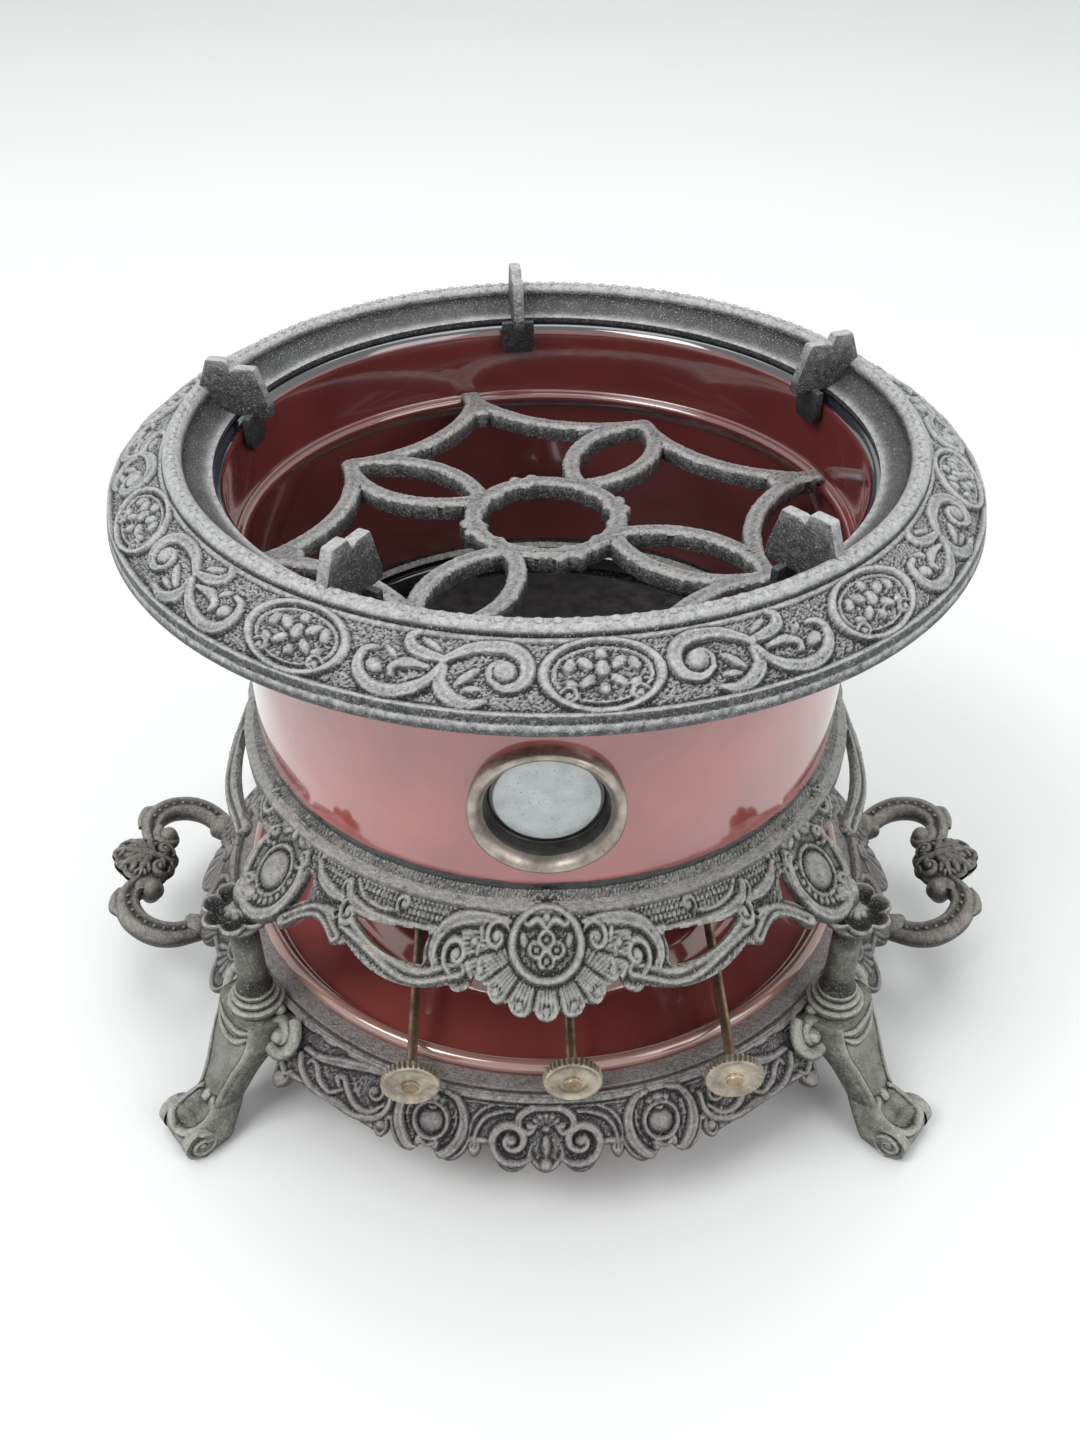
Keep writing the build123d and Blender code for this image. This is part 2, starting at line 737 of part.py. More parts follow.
# Columns: hollow turned posts with stacked collars at the foot
for name, azimuth in column_azimuths.items():
    with BuildPart() as column:
        with BuildSketch(upright(azimuth, column_radius)) as column_section:
            bore = tie_bolt_radius + bolt_clearance
            with BuildLine():
                Polyline(
                    (bore, column_top_height),
                    (bore, column_foot_height),
                    (collar_radius, column_foot_height),
                    (collar_radius, column_foot_height + 2.5),
                    (collar_radius - 2.0, column_foot_height + 3.5),
                    (collar_radius - 2.0, column_foot_height + 5.5),
                    (collar_radius - 3.6, column_foot_height + 6.5),
                    (collar_radius - 3.6, column_foot_height + 9.0),
                )
                ThreePointArc(
                    (collar_radius - 3.6, column_foot_height + 9.0),
                    (column_shaft_radius + 0.5, column_foot_height + 10.5),
                    (column_shaft_radius, column_foot_height + 14.0),
                )
                Polyline(
                    (column_shaft_radius, column_foot_height + 14.0),
                    (column_shaft_radius - 0.5, column_top_height - 7.5),
                    (capital_radius - 1.2, column_top_height - 5.5),
                    (capital_radius - 1.2, column_top_height - 3.0),
                    (capital_radius, column_top_height - 2.0),
                    (capital_radius, column_top_height),
                    (bore, column_top_height),
                )
            make_face()
        revolve(axis=Axis((*plan_point(column_radius, azimuth), 0), (0, 0, 1)))
    finish(column.part, f"column_{name}")

# Base ring: flat flange round the tank and a sloping scalloped face, notched for the legs
base_slant = sqrt(1 + base_slope**2)
base_drop = base_wall * base_slant
ground_drop = base_ground_drop * base_slant
face_radius = base_flange_radius + (base_flange_height - handle_attach_height) / base_slope
handle_bolt_seat = face_radius - base_drop / base_slope + 1.6
with BuildPart() as base_relief:
    with BuildSketch(Plane.XZ) as relief_band:
        Polygon(
            (base_flange_radius, base_flange_height - base_ground_drop),
            (base_flange_radius, base_flange_height),
            (side_lobe_reach, base_height(side_lobe_reach)),
            (side_lobe_reach, base_height(side_lobe_reach) - ground_drop - 1.0),
            (base_flange_radius + 1.0, base_flange_height - ground_drop - base_slope - 1.0),
            align=None,
        )
    revolve(axis=Axis.Z)
    with BuildSketch(Plane.XY) as relief_outline:
        for azimuth in (-90, 90):
            for side in (-1, 1):
                for turn in base_oval_degrees:
                    with Locations(lying(base_flange_radius + base_oval_stand, azimuth + side * turn)):
                        Ellipse(base_oval_length, base_oval_width)
                        Ellipse(base_oval_hole_length, base_oval_hole_width, mode=Mode.SUBTRACT)
                        Ellipse(base_oval_boss_length, base_oval_boss_width)
                for turn, stand, half_length, half_width in base_bosses:
                    with Locations(lying(base_flange_radius + stand, azimuth + side * turn)):
                        Ellipse(half_length, half_width)
                with Locations(plan_point(face_radius, azimuth + side * (90.0 - handle_spread))):
                    Circle(foot_pad_radius)
        Circle(base_flange_radius + base_moulding_width)
        Circle(base_flange_radius, mode=Mode.SUBTRACT)
    extrude(amount=base_flange_height, mode=Mode.INTERSECT)
with BuildPart() as base_ring:
    with BuildSketch(Plane.XZ) as face_section:
        ground_end = side_lobe_reach + 2.0
        Polygon(
            (base_flange_radius - base_wall, base_flange_height),
            (base_flange_radius, base_flange_height),
            (base_flange_radius, base_flange_height - ground_drop),
            (ground_end, base_height(ground_end) - ground_drop),
            (side_lobe_reach + 2.0, base_height(side_lobe_reach + 2.0) - base_drop),
            (base_flange_radius - base_wall, base_height(base_flange_radius - base_wall) - base_drop),
            align=None,
        )
    revolve(axis=Axis.Z)
    add(base_relief.part)
    with BuildSketch(Plane.XY) as base_plan:
        Circle(base_reach)
        for azimuth in (-90, 90):
            with Locations(plan_point(base_lobe_reach - 12.0, azimuth)):
                Circle(12.0)
            for side in (-1, 1):
                with Locations(plan_point(base_lobe_reach - 10.0, azimuth + side * 6.5)):
                    Circle(8.0)
                with Locations(plan_point(base_lobe_reach - 14.0, azimuth + side * 18.7)):
                    Circle(14.0)
                with Locations(plan_point(base_lobe_reach - 11.0, azimuth + side * 31.0)):
                    Circle(9.5)
                with Locations(plan_point(base_lobe_reach - 4.5, azimuth + side * 38.5)):
                    Circle(4.5)
                with Locations(plan_point(base_lobe_reach - 9.0, azimuth + side * 65.0)):
                    Circle(9.0)
                with Locations(plan_point(side_lobe_reach - 12.0, azimuth + side * (90.0 - handle_spread))):
                    Circle(12.0)
        for azimuth in (0, 180):
            with Locations(plan_point(side_lobe_reach - 16.0, azimuth)):
                Circle(16.0)
    extrude(amount=base_flange_height, mode=Mode.INTERSECT)
    with BuildSketch(Plane.XY.offset(base_flange_height)) as flange_plan:
        Circle(base_flange_radius)
        Circle(base_bore, mode=Mode.SUBTRACT)
    extrude(amount=-base_flange_thickness)
    for azimuth in column_azimuths.values():
        with BuildSketch(facing(azimuth, base_flange_radius)) as leg_notch:
            with Locations((0, base_flange_height / 2)):
                Rectangle(2 * (leg_half_width + notch_clearance), base_flange_height + 2.0)
        extrude(amount=base_reach, mode=Mode.SUBTRACT)
        with BuildSketch(facing(azimuth, base_bore + 1.0)) as lug_notch:
            with Locations((0, (base_flange_height - base_flange_thickness) / 2)):
                Rectangle(
                    2 * (leg_half_width + notch_clearance), base_flange_height - base_flange_thickness
                )
        extrude(amount=base_reach, mode=Mode.SUBTRACT)
        bolt_reach = base_flange_height - base_flange_thickness
        with BuildSketch(Plane.XY.offset(bolt_reach)) as leg_bolt_hole:
            with Locations(plan_point(leg_bolt_circle, azimuth)):
                Circle(leg_bolt_radius + bolt_clearance)
        extrude(amount=base_flange_thickness - 1.0, mode=Mode.SUBTRACT)
    for bolt_azimuth in handle_bolt_azimuths:
        with BuildSketch(facing(bolt_azimuth, base_bore)) as handle_bolt_hole:
            with Locations((0, handle_attach_height)):
                Circle(handle_bolt_radius + bolt_clearance)
        extrude(amount=base_reach, mode=Mode.SUBTRACT)
        with BuildSketch(facing(bolt_azimuth, base_bore)) as handle_bolt_spot:
            with Locations((0, handle_attach_height)):
                Circle(handle_bolt_head_radius + head_clearance)
        extrude(amount=handle_bolt_seat - base_bore, mode=Mode.SUBTRACT)
finish(base_ring.part, "base_ring")

# Legs: an S-curved side outline crossed with a waisted front outline, a rolled toe and a lug
for name, azimuth in column_azimuths.items():
    with BuildPart() as leg:
        platform = column_foot_height
        flange_under = base_flange_height - base_flange_thickness
        inner_edge = base_flange_radius + notch_clearance
        with BuildSketch(upright(azimuth)) as leg_side:
            with BuildLine():
                outer_top = Line((inner_edge, platform), (column_radius + 12.0, platform))
                outer_curve = Spline(
                    outer_top @ 1,
                    (column_radius + 19.0, platform - 18.0),
                    (column_radius + 31.0, platform - 42.0),
                    (toe_reach - toe_roll_radius, 2 * toe_roll_radius),
                    tangents=((0.5, -0.9), (1.0, -0.1)),
                )
                toe_arc = ThreePointArc(
                    outer_curve @ 1, (toe_reach, toe_roll_radius), (toe_reach - toe_roll_radius, 0)
                )
                sole = Line(toe_arc @ 1, (toe_reach - 3 * toe_roll_radius, 0))
                inner_curve = Spline(
                    sole @ 1,
                    (column_radius + 18.0, platform - 47.0),
                    (column_radius + 5.0, platform - 24.0),
                    (leg_bolt_circle + leg_bolt_head_radius + head_clearance, leg_lug_height),
                    tangents=((-0.6, 0.6), (-0.5, 0.8)),
                )
                Polyline(
                    inner_curve @ 1,
                    (leg_lug_radius, leg_lug_height),
                    (leg_lug_radius, flange_under),
                    (inner_edge, flange_under),
                    outer_top @ 0,
                )
            make_face()
        extrude(amount=leg_half_width, both=True)
        with BuildSketch(facing(azimuth, leg_lug_radius - 5.0)) as leg_front:
            with BuildLine():
                right_side = Spline(
                    (leg_half_width, platform),
                    (leg_half_width, platform - 14.0),
                    (ankle_half_width, platform - 40.0),
                    (toe_half_width, toe_roll_radius),
                    (toe_half_width - 1.0, 0),
                    tangents=((0, -1), (-0.3, -1)),
                )
                left_side = Spline(
                    (-leg_half_width, platform),
                    (-leg_half_width, platform - 14.0),
                    (-ankle_half_width, platform - 40.0),
                    (-toe_half_width, toe_roll_radius),
                    (-toe_half_width + 1.0, 0),
                    tangents=((0, -1), (0.3, -1)),
                )
                Line(right_side @ 0, left_side @ 0)
                Line(right_side @ 1, left_side @ 1)
            make_face()
        extrude(amount=toe_reach, mode=Mode.INTERSECT)
        with BuildSketch(Plane.XY) as tie_way:
            with Locations(plan_point(column_radius, azimuth)):
                Circle(tie_bolt_radius + bolt_clearance)
        extrude(amount=platform, mode=Mode.SUBTRACT)
        with BuildSketch(Plane.XY) as tie_head_room:
            with Locations(plan_point(column_radius, azimuth)):
                Circle(bolt_head_radius + head_clearance)
        extrude(amount=platform - 10.0, mode=Mode.SUBTRACT)
        with BuildSketch(Plane.XY) as lug_bolt_way:
            with Locations(plan_point(leg_bolt_circle, azimuth)):
                Circle(leg_bolt_radius + bolt_clearance)
        extrude(amount=platform, mode=Mode.SUBTRACT)
    finish(leg.part, f"leg_{name}")

# Tie bolts: up through leg and column into the upper frame
with BuildPart() as tie_bolts:
    for azimuth in column_azimuths.values():
        head_top = column_foot_height - 10.0
        with BuildSketch(Plane.XY.offset(head_top)) as tie_head:
            with Locations(plan_point(column_radius, azimuth)):
                RegularPolygon(bolt_head_radius, 6)
        extrude(amount=-bolt_head_thickness)
        with BuildSketch(Plane.XY.offset(head_top)) as tie_shank:
            with Locations(plan_point(column_radius, azimuth)):
                Circle(tie_bolt_radius)
        extrude(amount=column_top_height + tie_bolt_depth - head_top - 0.2)
finish(tie_bolts.part, "tie_bolts")

# Leg bolts: up through the leg's lug into the base ring's flange
with BuildPart() as leg_bolts:
    for azimuth in column_azimuths.values():
        with BuildSketch(Plane.XY.offset(leg_lug_height)) as leg_bolt_shank:
            with Locations(plan_point(leg_bolt_circle, azimuth)):
                Circle(leg_bolt_radius)
        extrude(amount=leg_bolt_length)
        with BuildSketch(Plane.XY.offset(leg_lug_height)) as leg_bolt_head:
            with Locations(plan_point(leg_bolt_circle, azimuth)):
                Circle(leg_bolt_head_radius)
        extrude(amount=-leg_bolt_head_thickness, taper=12)
finish(leg_bolts.part, "leg_bolts")

# Handles: two opposed scrolls meet in a leafed boss, tilted up, their feet seated on the base ring
tilt = radians(handle_tilt)
handle_root = handle_attach_radius * cos(radians(handle_spread))
handle_foot_width = handle_attach_radius * sin(radians(handle_spread))
handle_plane = Plane(
    origin=(handle_root, 0, handle_attach_height),
    x_dir=(cos(tilt), 0, sin(tilt)),
    z_dir=(-sin(tilt), 0, cos(tilt)),
)
with BuildPart() as handle_right:
    for half in (-1, 1):
        with BuildLine(handle_plane) as bar_line:
            Spline(
                (0, half * handle_foot_width),
                (handle_lobe_reach / 2, half * (handle_lobe_width - 1.5)),
                (handle_lobe_reach, half * handle_lobe_width),
                (handle_turn_reach, half * handle_turn_width),
                (handle_boss_reach, half * handle_curl_width),
            )
        with BuildSketch(Plane(origin=bar_line.line @ 0, z_dir=bar_line.line % 0)) as bar_section:
            Circle(handle_bar_radius)
        sweep(path=bar_line.line)
        with Locations(handle_plane.from_local_coords(Vector(handle_boss_reach, half * handle_curl_width, 0))):
            Sphere(handle_curl_radius)
        with Locations((handle_root, half * handle_foot_width, handle_attach_height)):
            Sphere(handle_foot_radius)
    with BuildSketch(handle_plane.offset(-handle_boss_thickness / 2)) as boss_outline:
        with Locations((handle_boss_reach, 0)):
            Ellipse(handle_boss_length - handle_leaf_radius, handle_boss_width - handle_leaf_radius)
        for leaf in range(handle_leaves):
            leaf_angle = radians(-90.0 + 180.0 * leaf / (handle_leaves - 1))
            leaf_place = (
                handle_boss_reach + (handle_boss_length - handle_leaf_radius) * cos(leaf_angle),
                (handle_boss_width - handle_leaf_radius) * sin(leaf_angle),
            )
            with Locations(leaf_place):
                Circle(handle_leaf_radius)
    extrude(amount=handle_boss_thickness)
    with BuildSketch(Plane.XZ) as base_envelope:
        envelope_reach = side_lobe_reach + 2.0
        Polygon(
            (0, base_flange_height),
            (base_flange_radius, base_flange_height),
            (envelope_reach, base_height(envelope_reach)),
            (envelope_reach, 0),
            (0, 0),
            align=None,
        )
    revolve(axis=Axis.Z, mode=Mode.SUBTRACT)
    for side in (-1, 1):
        with BuildSketch(facing(side * handle_spread, handle_bolt_seat)) as bolt_way:
            with Locations((0, handle_attach_height)):
                Circle(handle_bolt_radius + bolt_clearance)
        extrude(amount=handle_bolt_length + 0.3, mode=Mode.SUBTRACT)
with BuildPart() as handle_left:
    add(handle_right.part, rotation=(0, 0, 180))
finish(handle_right.part, "handle_right")
finish(handle_left.part, "handle_left")

# Handle bolts: from inside the base ring's face into the handle's feet
with BuildPart() as handle_bolts:
    for bolt_azimuth in handle_bolt_azimuths:
        with BuildSketch(facing(bolt_azimuth, handle_bolt_seat)) as handle_bolt_shank:
            with Locations((0, handle_attach_height)):
                Circle(handle_bolt_radius)
        extrude(amount=handle_bolt_length)
        with BuildSketch(facing(bolt_azimuth, handle_bolt_seat)) as handle_bolt_head:
            with Locations((0, handle_attach_height)):
                Circle(handle_bolt_head_radius)
        extrude(amount=-handle_bolt_head_thickness, taper=12)
finish(handle_bolts.part, "handle_bolts")

# Tank pan: drawn sheet, its flange rests on the base ring's flange
pan_mid = pan_radius - tank_sheet / 2
with BuildPart() as tank_pan:
    with BuildSketch(Plane.XZ) as pan_section:
        with BuildLine() as pan_line:
            FilletPolyline(
                (0, pan_bottom_height + tank_sheet / 2),
                (pan_mid, pan_bottom_height + tank_sheet / 2),
                (pan_mid, base_flange_height + tank_sheet / 2),
                (tank_rim_radius - 1.5, base_flange_height + tank_sheet / 2),
                radius=[5.0, 1.5],
            )
        trace(pan_line.line, line_width=tank_sheet)
        with Locations((-tank_sheet, pan_bottom_height + tank_sheet / 2)):
            Rectangle(2 * tank_sheet, 2 * tank_sheet, mode=Mode.SUBTRACT)
    revolve(axis=Axis.Z)
finish(tank_pan.part, "tank_pan")

# Tank top: raised burner plateau, channel and rolled rim on the pan's flange
tank_plane = Plane.XY.rotated((0, 0, tank_turn))
seam_height = base_flange_height + 1.5 * tank_sheet
top_wall = pan_radius - tank_sheet - tank_top_clearance - tank_sheet / 2
with BuildPart() as tank_top:
    with BuildSketch(Plane.XZ) as top_section:
        with BuildLine() as top_line:
            FilletPolyline(
                (0, tank_plateau_height - tank_sheet / 2),
                (tank_plateau_radius, tank_plateau_height - tank_sheet / 2),
                (tank_plateau_radius + tank_step_width, tank_channel_height - tank_sheet / 2),
                (top_wall, tank_channel_height - tank_sheet / 2),
                (top_wall, seam_height),
                (tank_rim_radius - tank_rim_roll, seam_height),
                radius=[4.0, 4.0, 1.2, 1.2],
            )
        trace(top_line.line, line_width=tank_sheet)
        with Locations((-tank_sheet, tank_plateau_height - tank_sheet / 2)):
            Rectangle(2 * tank_sheet, 2 * tank_sheet, mode=Mode.SUBTRACT)
        with Locations((tank_rim_radius - tank_rim_roll, seam_height - tank_sheet / 2 + tank_rim_roll)):
            Circle(tank_rim_roll)
    revolve(axis=Axis.Z)
    with BuildSketch(tank_plane.offset(tank_channel_height)) as tube_slots:
        for place in wick_places.values():
            with Locations((place, 0)):
                Rectangle(tube_depth + 2 * slot_clearance, tube_width + 2 * slot_clearance)
    extrude(amount=tank_plateau_height, mode=Mode.SUBTRACT)
    with BuildSketch(tank_plane.offset(pan_bottom_height)) as filler_hole:
        with Locations((0, filler_radius)):
            Circle(neck_radius - neck_wall)
    extrude(amount=tank_plateau_height, mode=Mode.SUBTRACT)
finish(tank_top.part, "tank_top")

# Filler neck, gasket and knurled cap
neck_top = tank_channel_height + neck_rise
filler_place = tank_plane.from_local_coords(Vector(0, filler_radius, 0))
filler_x = filler_place.X
filler_y = filler_place.Y
filler_axis = Axis((filler_x, filler_y, 0), (0, 0, 1))
filler_section_plane = Plane(origin=(filler_x, filler_y, 0), x_dir=(1, 0, 0), z_dir=(0, -1, 0))
with BuildPart() as filler_neck:
    with BuildSketch(filler_section_plane) as neck_section:
        Polygon(
            (neck_radius - neck_wall, tank_channel_height),
            (neck_radius - neck_wall, neck_top),
            (neck_radius, neck_top),
            (neck_radius, tank_channel_height + 1.0),
            (neck_radius + neck_flange, tank_channel_height + 1.0),
            (neck_radius + neck_flange, tank_channel_height),
            align=None,
        )
    revolve(axis=filler_axis)
finish(filler_neck.part, "filler_neck")

with BuildPart() as filler_gasket:
    with BuildSketch(Plane.XY.offset(neck_top)) as gasket_ring:
        with Locations((filler_x, filler_y)):
            Circle(neck_radius)
            Circle(neck_radius - gasket_width, mode=Mode.SUBTRACT)
    extrude(amount=gasket_thickness)
finish(filler_gasket.part, "filler_gasket")

cap_inner = neck_radius + cap_clearance
cap_outer = cap_inner + cap_wall
cap_roof = neck_top + gasket_thickness
with BuildPart() as filler_cap:
    with BuildSketch(Plane.XY.offset(neck_top - cap_skirt)) as cap_outline:
        with BuildLine():
            cap_points = []
            for tooth in range(cap_teeth):
                step = 360.0 / cap_teeth
                cap_points.append(plan_point(cap_outer, tooth * step))
                cap_points.append(plan_point(cap_outer - 0.8, (tooth + 0.5) * step))
            placed = [(filler_x + x, filler_y + y) for x, y in cap_points]
            Polyline(*placed, close=True)
        make_face()
    extrude(amount=cap_roof + cap_wall - neck_top + cap_skirt)
    with BuildSketch(Plane.XY.offset(neck_top - cap_skirt)) as cap_hollow:
        with Locations((filler_x, filler_y)):
            Circle(cap_inner)
    extrude(amount=cap_skirt + gasket_thickness, mode=Mode.SUBTRACT)
    with BuildSketch(Plane.XY.offset(cap_roof + cap_wall)) as cap_button:
        with Locations((filler_x, filler_y)):
            Circle(cap_outer - 4.0)
    extrude(amount=1.4, taper=30)
finish(filler_cap.part, "filler_cap")

# Burners: wick tube with winder housing, wick, spindle with star wheels, gland and knob
housing_inner = spindle_offset + star_tip_radius + star_clearance
housing_outer = housing_inner + housing_wall
housing_floor = tank_plateau_height + tube_flange_thickness
housing_top = spindle_height + star_tip_radius + housing_top_gap + housing_wall
knob_back = knob_face_reach - knob_thickness
for name, place in wick_places.items():
    tube_x = place
    spindle_x = place + spindle_offset
    across = tank_plane.rotated((90, 0, 0))
    with BuildPart() as wick_tube:
        with BuildSketch(tank_plane.offset(tube_foot_height)) as tube_outline:
            with Locations((tube_x, 0)):
                RectangleRounded(tube_depth, tube_width, 2.0)
        extrude(amount=tube_top_height - tube_foot_height)
        with BuildSketch(tank_plane.offset(tank_plateau_height)) as tube_flange:
            with Locations((tube_x + (housing_outer - tube_depth) / 2, 0)):
                Rectangle(tube_depth + housing_outer, housing_length)
        extrude(amount=tube_flange_thickness)
        with BuildSketch(tank_plane.offset(housing_floor)) as housing_block:
            with Locations((tube_x + (tube_depth / 2 + housing_outer) / 2, 0)):
                Rectangle(housing_outer - tube_depth / 2, housing_length)
        extrude(amount=housing_top - housing_floor)
        with BuildSketch(tank_plane.offset(housing_floor)) as housing_hollow:
            with Locations((tube_x + (tube_depth / 2 + housing_inner) / 2, 0)):
                Rectangle(housing_inner - tube_depth / 2, housing_length - 2 * housing_wall)
        extrude(amount=housing_top - housing_wall - housing_floor, mode=Mode.SUBTRACT)
        with BuildSketch(tank_plane.offset(tube_foot_height)) as wick_way:
            with Locations((tube_x, 0)):
                RectangleRounded(tube_depth - 2 * tube_wall, tube_width - 2 * tube_wall, 1.2)
        extrude(amount=tube_top_height - tube_foot_height, mode=Mode.SUBTRACT)
        with BuildSketch(tank_plane.offset(housing_floor)) as star_windows:
            for shift in (-star_pitch, 0, star_pitch):
                with Locations((tube_x + tube_depth / 2, shift)):
                    Rectangle(2 * tube_wall + 1.0, star_thickness + 4.0)
        extrude(amount=housing_top - housing_wall - housing_floor, mode=Mode.SUBTRACT)
        bore_plane = Plane(
            origin=tank_plane.from_local_coords(Vector(spindle_x, 0, spindle_height)),
            x_dir=tank_plane.x_dir,
            z_dir=-tank_plane.y_dir,
        )
        with BuildSketch(bore_plane) as spindle_bore:
            Circle(spindle_radius + spindle_clearance)
        extrude(amount=housing_length, both=True, mode=Mode.SUBTRACT)
    finish(wick_tube.part, f"wick_tube_{name}")

    with BuildPart() as wick:
        with BuildSketch(tank_plane.offset(wick_foot_height)) as wick_outline:
            with Locations((tube_x, 0)):
                RectangleRounded(wick_thickness, wick_width, 1.0)
        extrude(amount=tube_top_height - wick_foot_height)
    finish(wick.part, f"wick_{name}")

    with BuildPart() as spindle:
        with BuildSketch(bore_plane.offset(-housing_length / 2 + spindle_tail)) as spindle_section:
            Circle(spindle_radius)
        extrude(amount=housing_length / 2 - spindle_tail + knob_face_reach)
        with BuildSketch(bore_plane.offset(knob_face_reach)) as rivet_section:
            Circle(rivet_head_radius)
        extrude(amount=rivet_head_height, taper=25)
        for shift in (-star_pitch, 0, star_pitch):
            with BuildSketch(bore_plane.offset(shift - star_thickness / 2)) as star_outline:
                with BuildLine():
                    star_points = []
                    for tooth in range(star_teeth):
                        step = 360.0 / star_teeth
                        star_points.append(plan_point(star_tip_radius, tooth * step))
                        star_points.append(plan_point(star_root_radius, (tooth + 0.5) * step))
                    Polyline(*star_points, close=True)
                make_face()
            extrude(amount=star_thickness)
    finish(spindle.part, f"spindle_{name}")

    with BuildPart() as gland:
        with BuildSketch(bore_plane.offset(housing_length / 2)) as gland_hex:
            RegularPolygon(gland_radius, 6)
            Circle(spindle_radius + spindle_clearance, mode=Mode.SUBTRACT)
        extrude(amount=gland_length * 0.6)
        with BuildSketch(bore_plane.offset(housing_length / 2 + gland_length * 0.6)) as gland_nose:
            Circle(gland_radius - 1.2)
            Circle(spindle_radius + spindle_clearance, mode=Mode.SUBTRACT)
        extrude(amount=gland_length * 0.4)
    finish(gland.part, f"gland_{name}")

    with BuildPart() as knob:
        with BuildSketch(bore_plane.offset(knob_back)) as knob_outline:
            with BuildLine():
                knurl_points = []
                for tooth in range(knob_knurls):
                    step = 360.0 / knob_knurls
                    knurl_points.append(plan_point(knob_radius, tooth * step))
                    knurl_points.append(plan_point(knob_radius - knob_knurl_depth, (tooth + 0.5) * step))
                Polyline(*knurl_points, close=True)
            make_face()
        extrude(amount=knob_thickness)
        with BuildSketch(bore_plane.offset(knob_back - knob_hub_length)) as knob_hub:
            Circle(knob_hub_radius)
        extrude(amount=knob_hub_length)
        with BuildSketch(bore_plane.offset(knob_face_reach - 0.8)) as knob_dish:
            Circle(knob_radius - 2.0)
            Circle(knob_hub_radius + 0.8, mode=Mode.SUBTRACT)
        extrude(amount=0.8, mode=Mode.SUBTRACT)
        with BuildSketch(bore_plane.offset(knob_back - knob_hub_length)) as knob_bore:
            Circle(spindle_radius)
        extrude(amount=knob_thickness + knob_hub_length, mode=Mode.SUBTRACT)
    finish(knob.part, f"knob_{name}")

# Flame plate: a disc on the frame's ledge with a raised lip round each wick
slot_depth = tube_depth + 2 * flame_slot_clearance
slot_width = tube_width + 2 * flame_slot_clearance
plate_top = frame_ledge_height + flame_plate_thickness
with BuildPart() as flame_plate:
    with BuildSketch(Plane.XY.offset(frame_ledge_height)) as plate_disc:
        Circle(flame_plate_radius)
    extrude(amount=flame_plate_thickness)
    with BuildSketch(tank_plane.offset(plate_top)) as lip_outline:
        for place in wick_places.values():
            with Locations((place, 0)):
                RectangleRounded(slot_depth + 2 * flame_lip_wall, slot_width + 2 * flame_lip_wall, 3.0)
    extrude(amount=flame_lip_rise)
    with BuildSketch(tank_plane.offset(frame_ledge_height)) as flame_slots:
        for place in wick_places.values():
            with Locations((place, 0)):
                RectangleRounded(slot_depth, slot_width, 2.0)
    extrude(amount=flame_plate_thickness + flame_lip_rise, mode=Mode.SUBTRACT)
finish(flame_plate.part, "flame_plate")

# Draught gallery: a perforated band that hangs from the flame plate round the wick tubes
with BuildPart() as draught_gallery:
    with BuildSketch(Plane.XY.offset(frame_ledge_height)) as gallery_ring:
        Circle(gallery_radius)
        Circle(gallery_radius - gallery_wall, mode=Mode.SUBTRACT)
    extrude(amount=-gallery_drop)
    for number in range(gallery_holes // 2):
        hole_azimuth = number * 360.0 / gallery_holes
        with BuildSketch(upright(hole_azimuth + 90.0)) as gallery_hole:
            with Locations((0, frame_ledge_height - gallery_drop / 2)):
                Circle(gallery_hole_radius)
        extrude(amount=gallery_radius + 1.0, both=True, mode=Mode.SUBTRACT)
finish(draught_gallery.part, "draught_gallery")
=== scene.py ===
"""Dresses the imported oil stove: cast relief, enamel, brass and mica over the solids.

Lengths are millimetres until a mesh is made, and metres in Blender. The stove stands on the floor
at the origin, its window and knobs face -Y, and azimuths count from +X.
"""
import math

import bmesh
import bpy
import numpy as np
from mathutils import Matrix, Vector


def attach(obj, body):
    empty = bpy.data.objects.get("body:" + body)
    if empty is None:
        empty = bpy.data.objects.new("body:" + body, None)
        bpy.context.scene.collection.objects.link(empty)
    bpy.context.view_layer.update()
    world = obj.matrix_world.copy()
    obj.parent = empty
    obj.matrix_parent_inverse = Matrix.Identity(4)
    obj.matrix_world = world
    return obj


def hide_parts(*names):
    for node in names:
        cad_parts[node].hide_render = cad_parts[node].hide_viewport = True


bl_info = {
    "name": "Oil Stove Dressing",
    "version": (1, 0, 0),
    "blender": (4, 5, 0),
    "location": "View3D > Sidebar > Oil Stove",
    "description": "Builds the cast, enamelled and brass pieces of the oil stove over its solids",
    "category": "Object",
}

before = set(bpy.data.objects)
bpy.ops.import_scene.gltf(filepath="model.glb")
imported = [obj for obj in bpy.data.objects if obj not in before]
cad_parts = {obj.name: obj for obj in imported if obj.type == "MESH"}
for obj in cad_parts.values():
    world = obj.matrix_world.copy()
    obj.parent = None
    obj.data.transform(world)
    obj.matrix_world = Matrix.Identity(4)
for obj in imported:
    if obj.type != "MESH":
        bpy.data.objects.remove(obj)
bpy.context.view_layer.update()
MM = 0.001
TINY = 1e-12
FAR = 999.0
GROWN_RELIEF = 1.5  # beads and pearls stand high and are rubbed bright
COLUMN_CIRCLE = 151  # radius of the ring that the columns stand on
COLUMN_TURN = 51  # degrees from the front or the rear


# Drawing tools: smooth paths, distances and heights on a flat drawing in millimetres

def smooth_path(points, steps=8):
    """Catmull-Rom curve through the points, as an array of (x, y)."""
    p = np.array(points, float)
    p = np.vstack([2 * p[0] - p[1], p, 2 * p[-1] - p[-2]])
    t = np.linspace(0, 1, steps, endpoint=False)[:, None]
    runs = [0.5 * (2 * b + (c - a) * t + (2 * a - 5 * b + 4 * c - d) * t**2
                   + (3 * b - a - 3 * c + d) * t**3)
            for a, b, c, d in zip(p[:-3], p[1:-2], p[2:-1], p[3:])]
    return np.vstack(runs + [p[-2][None]])


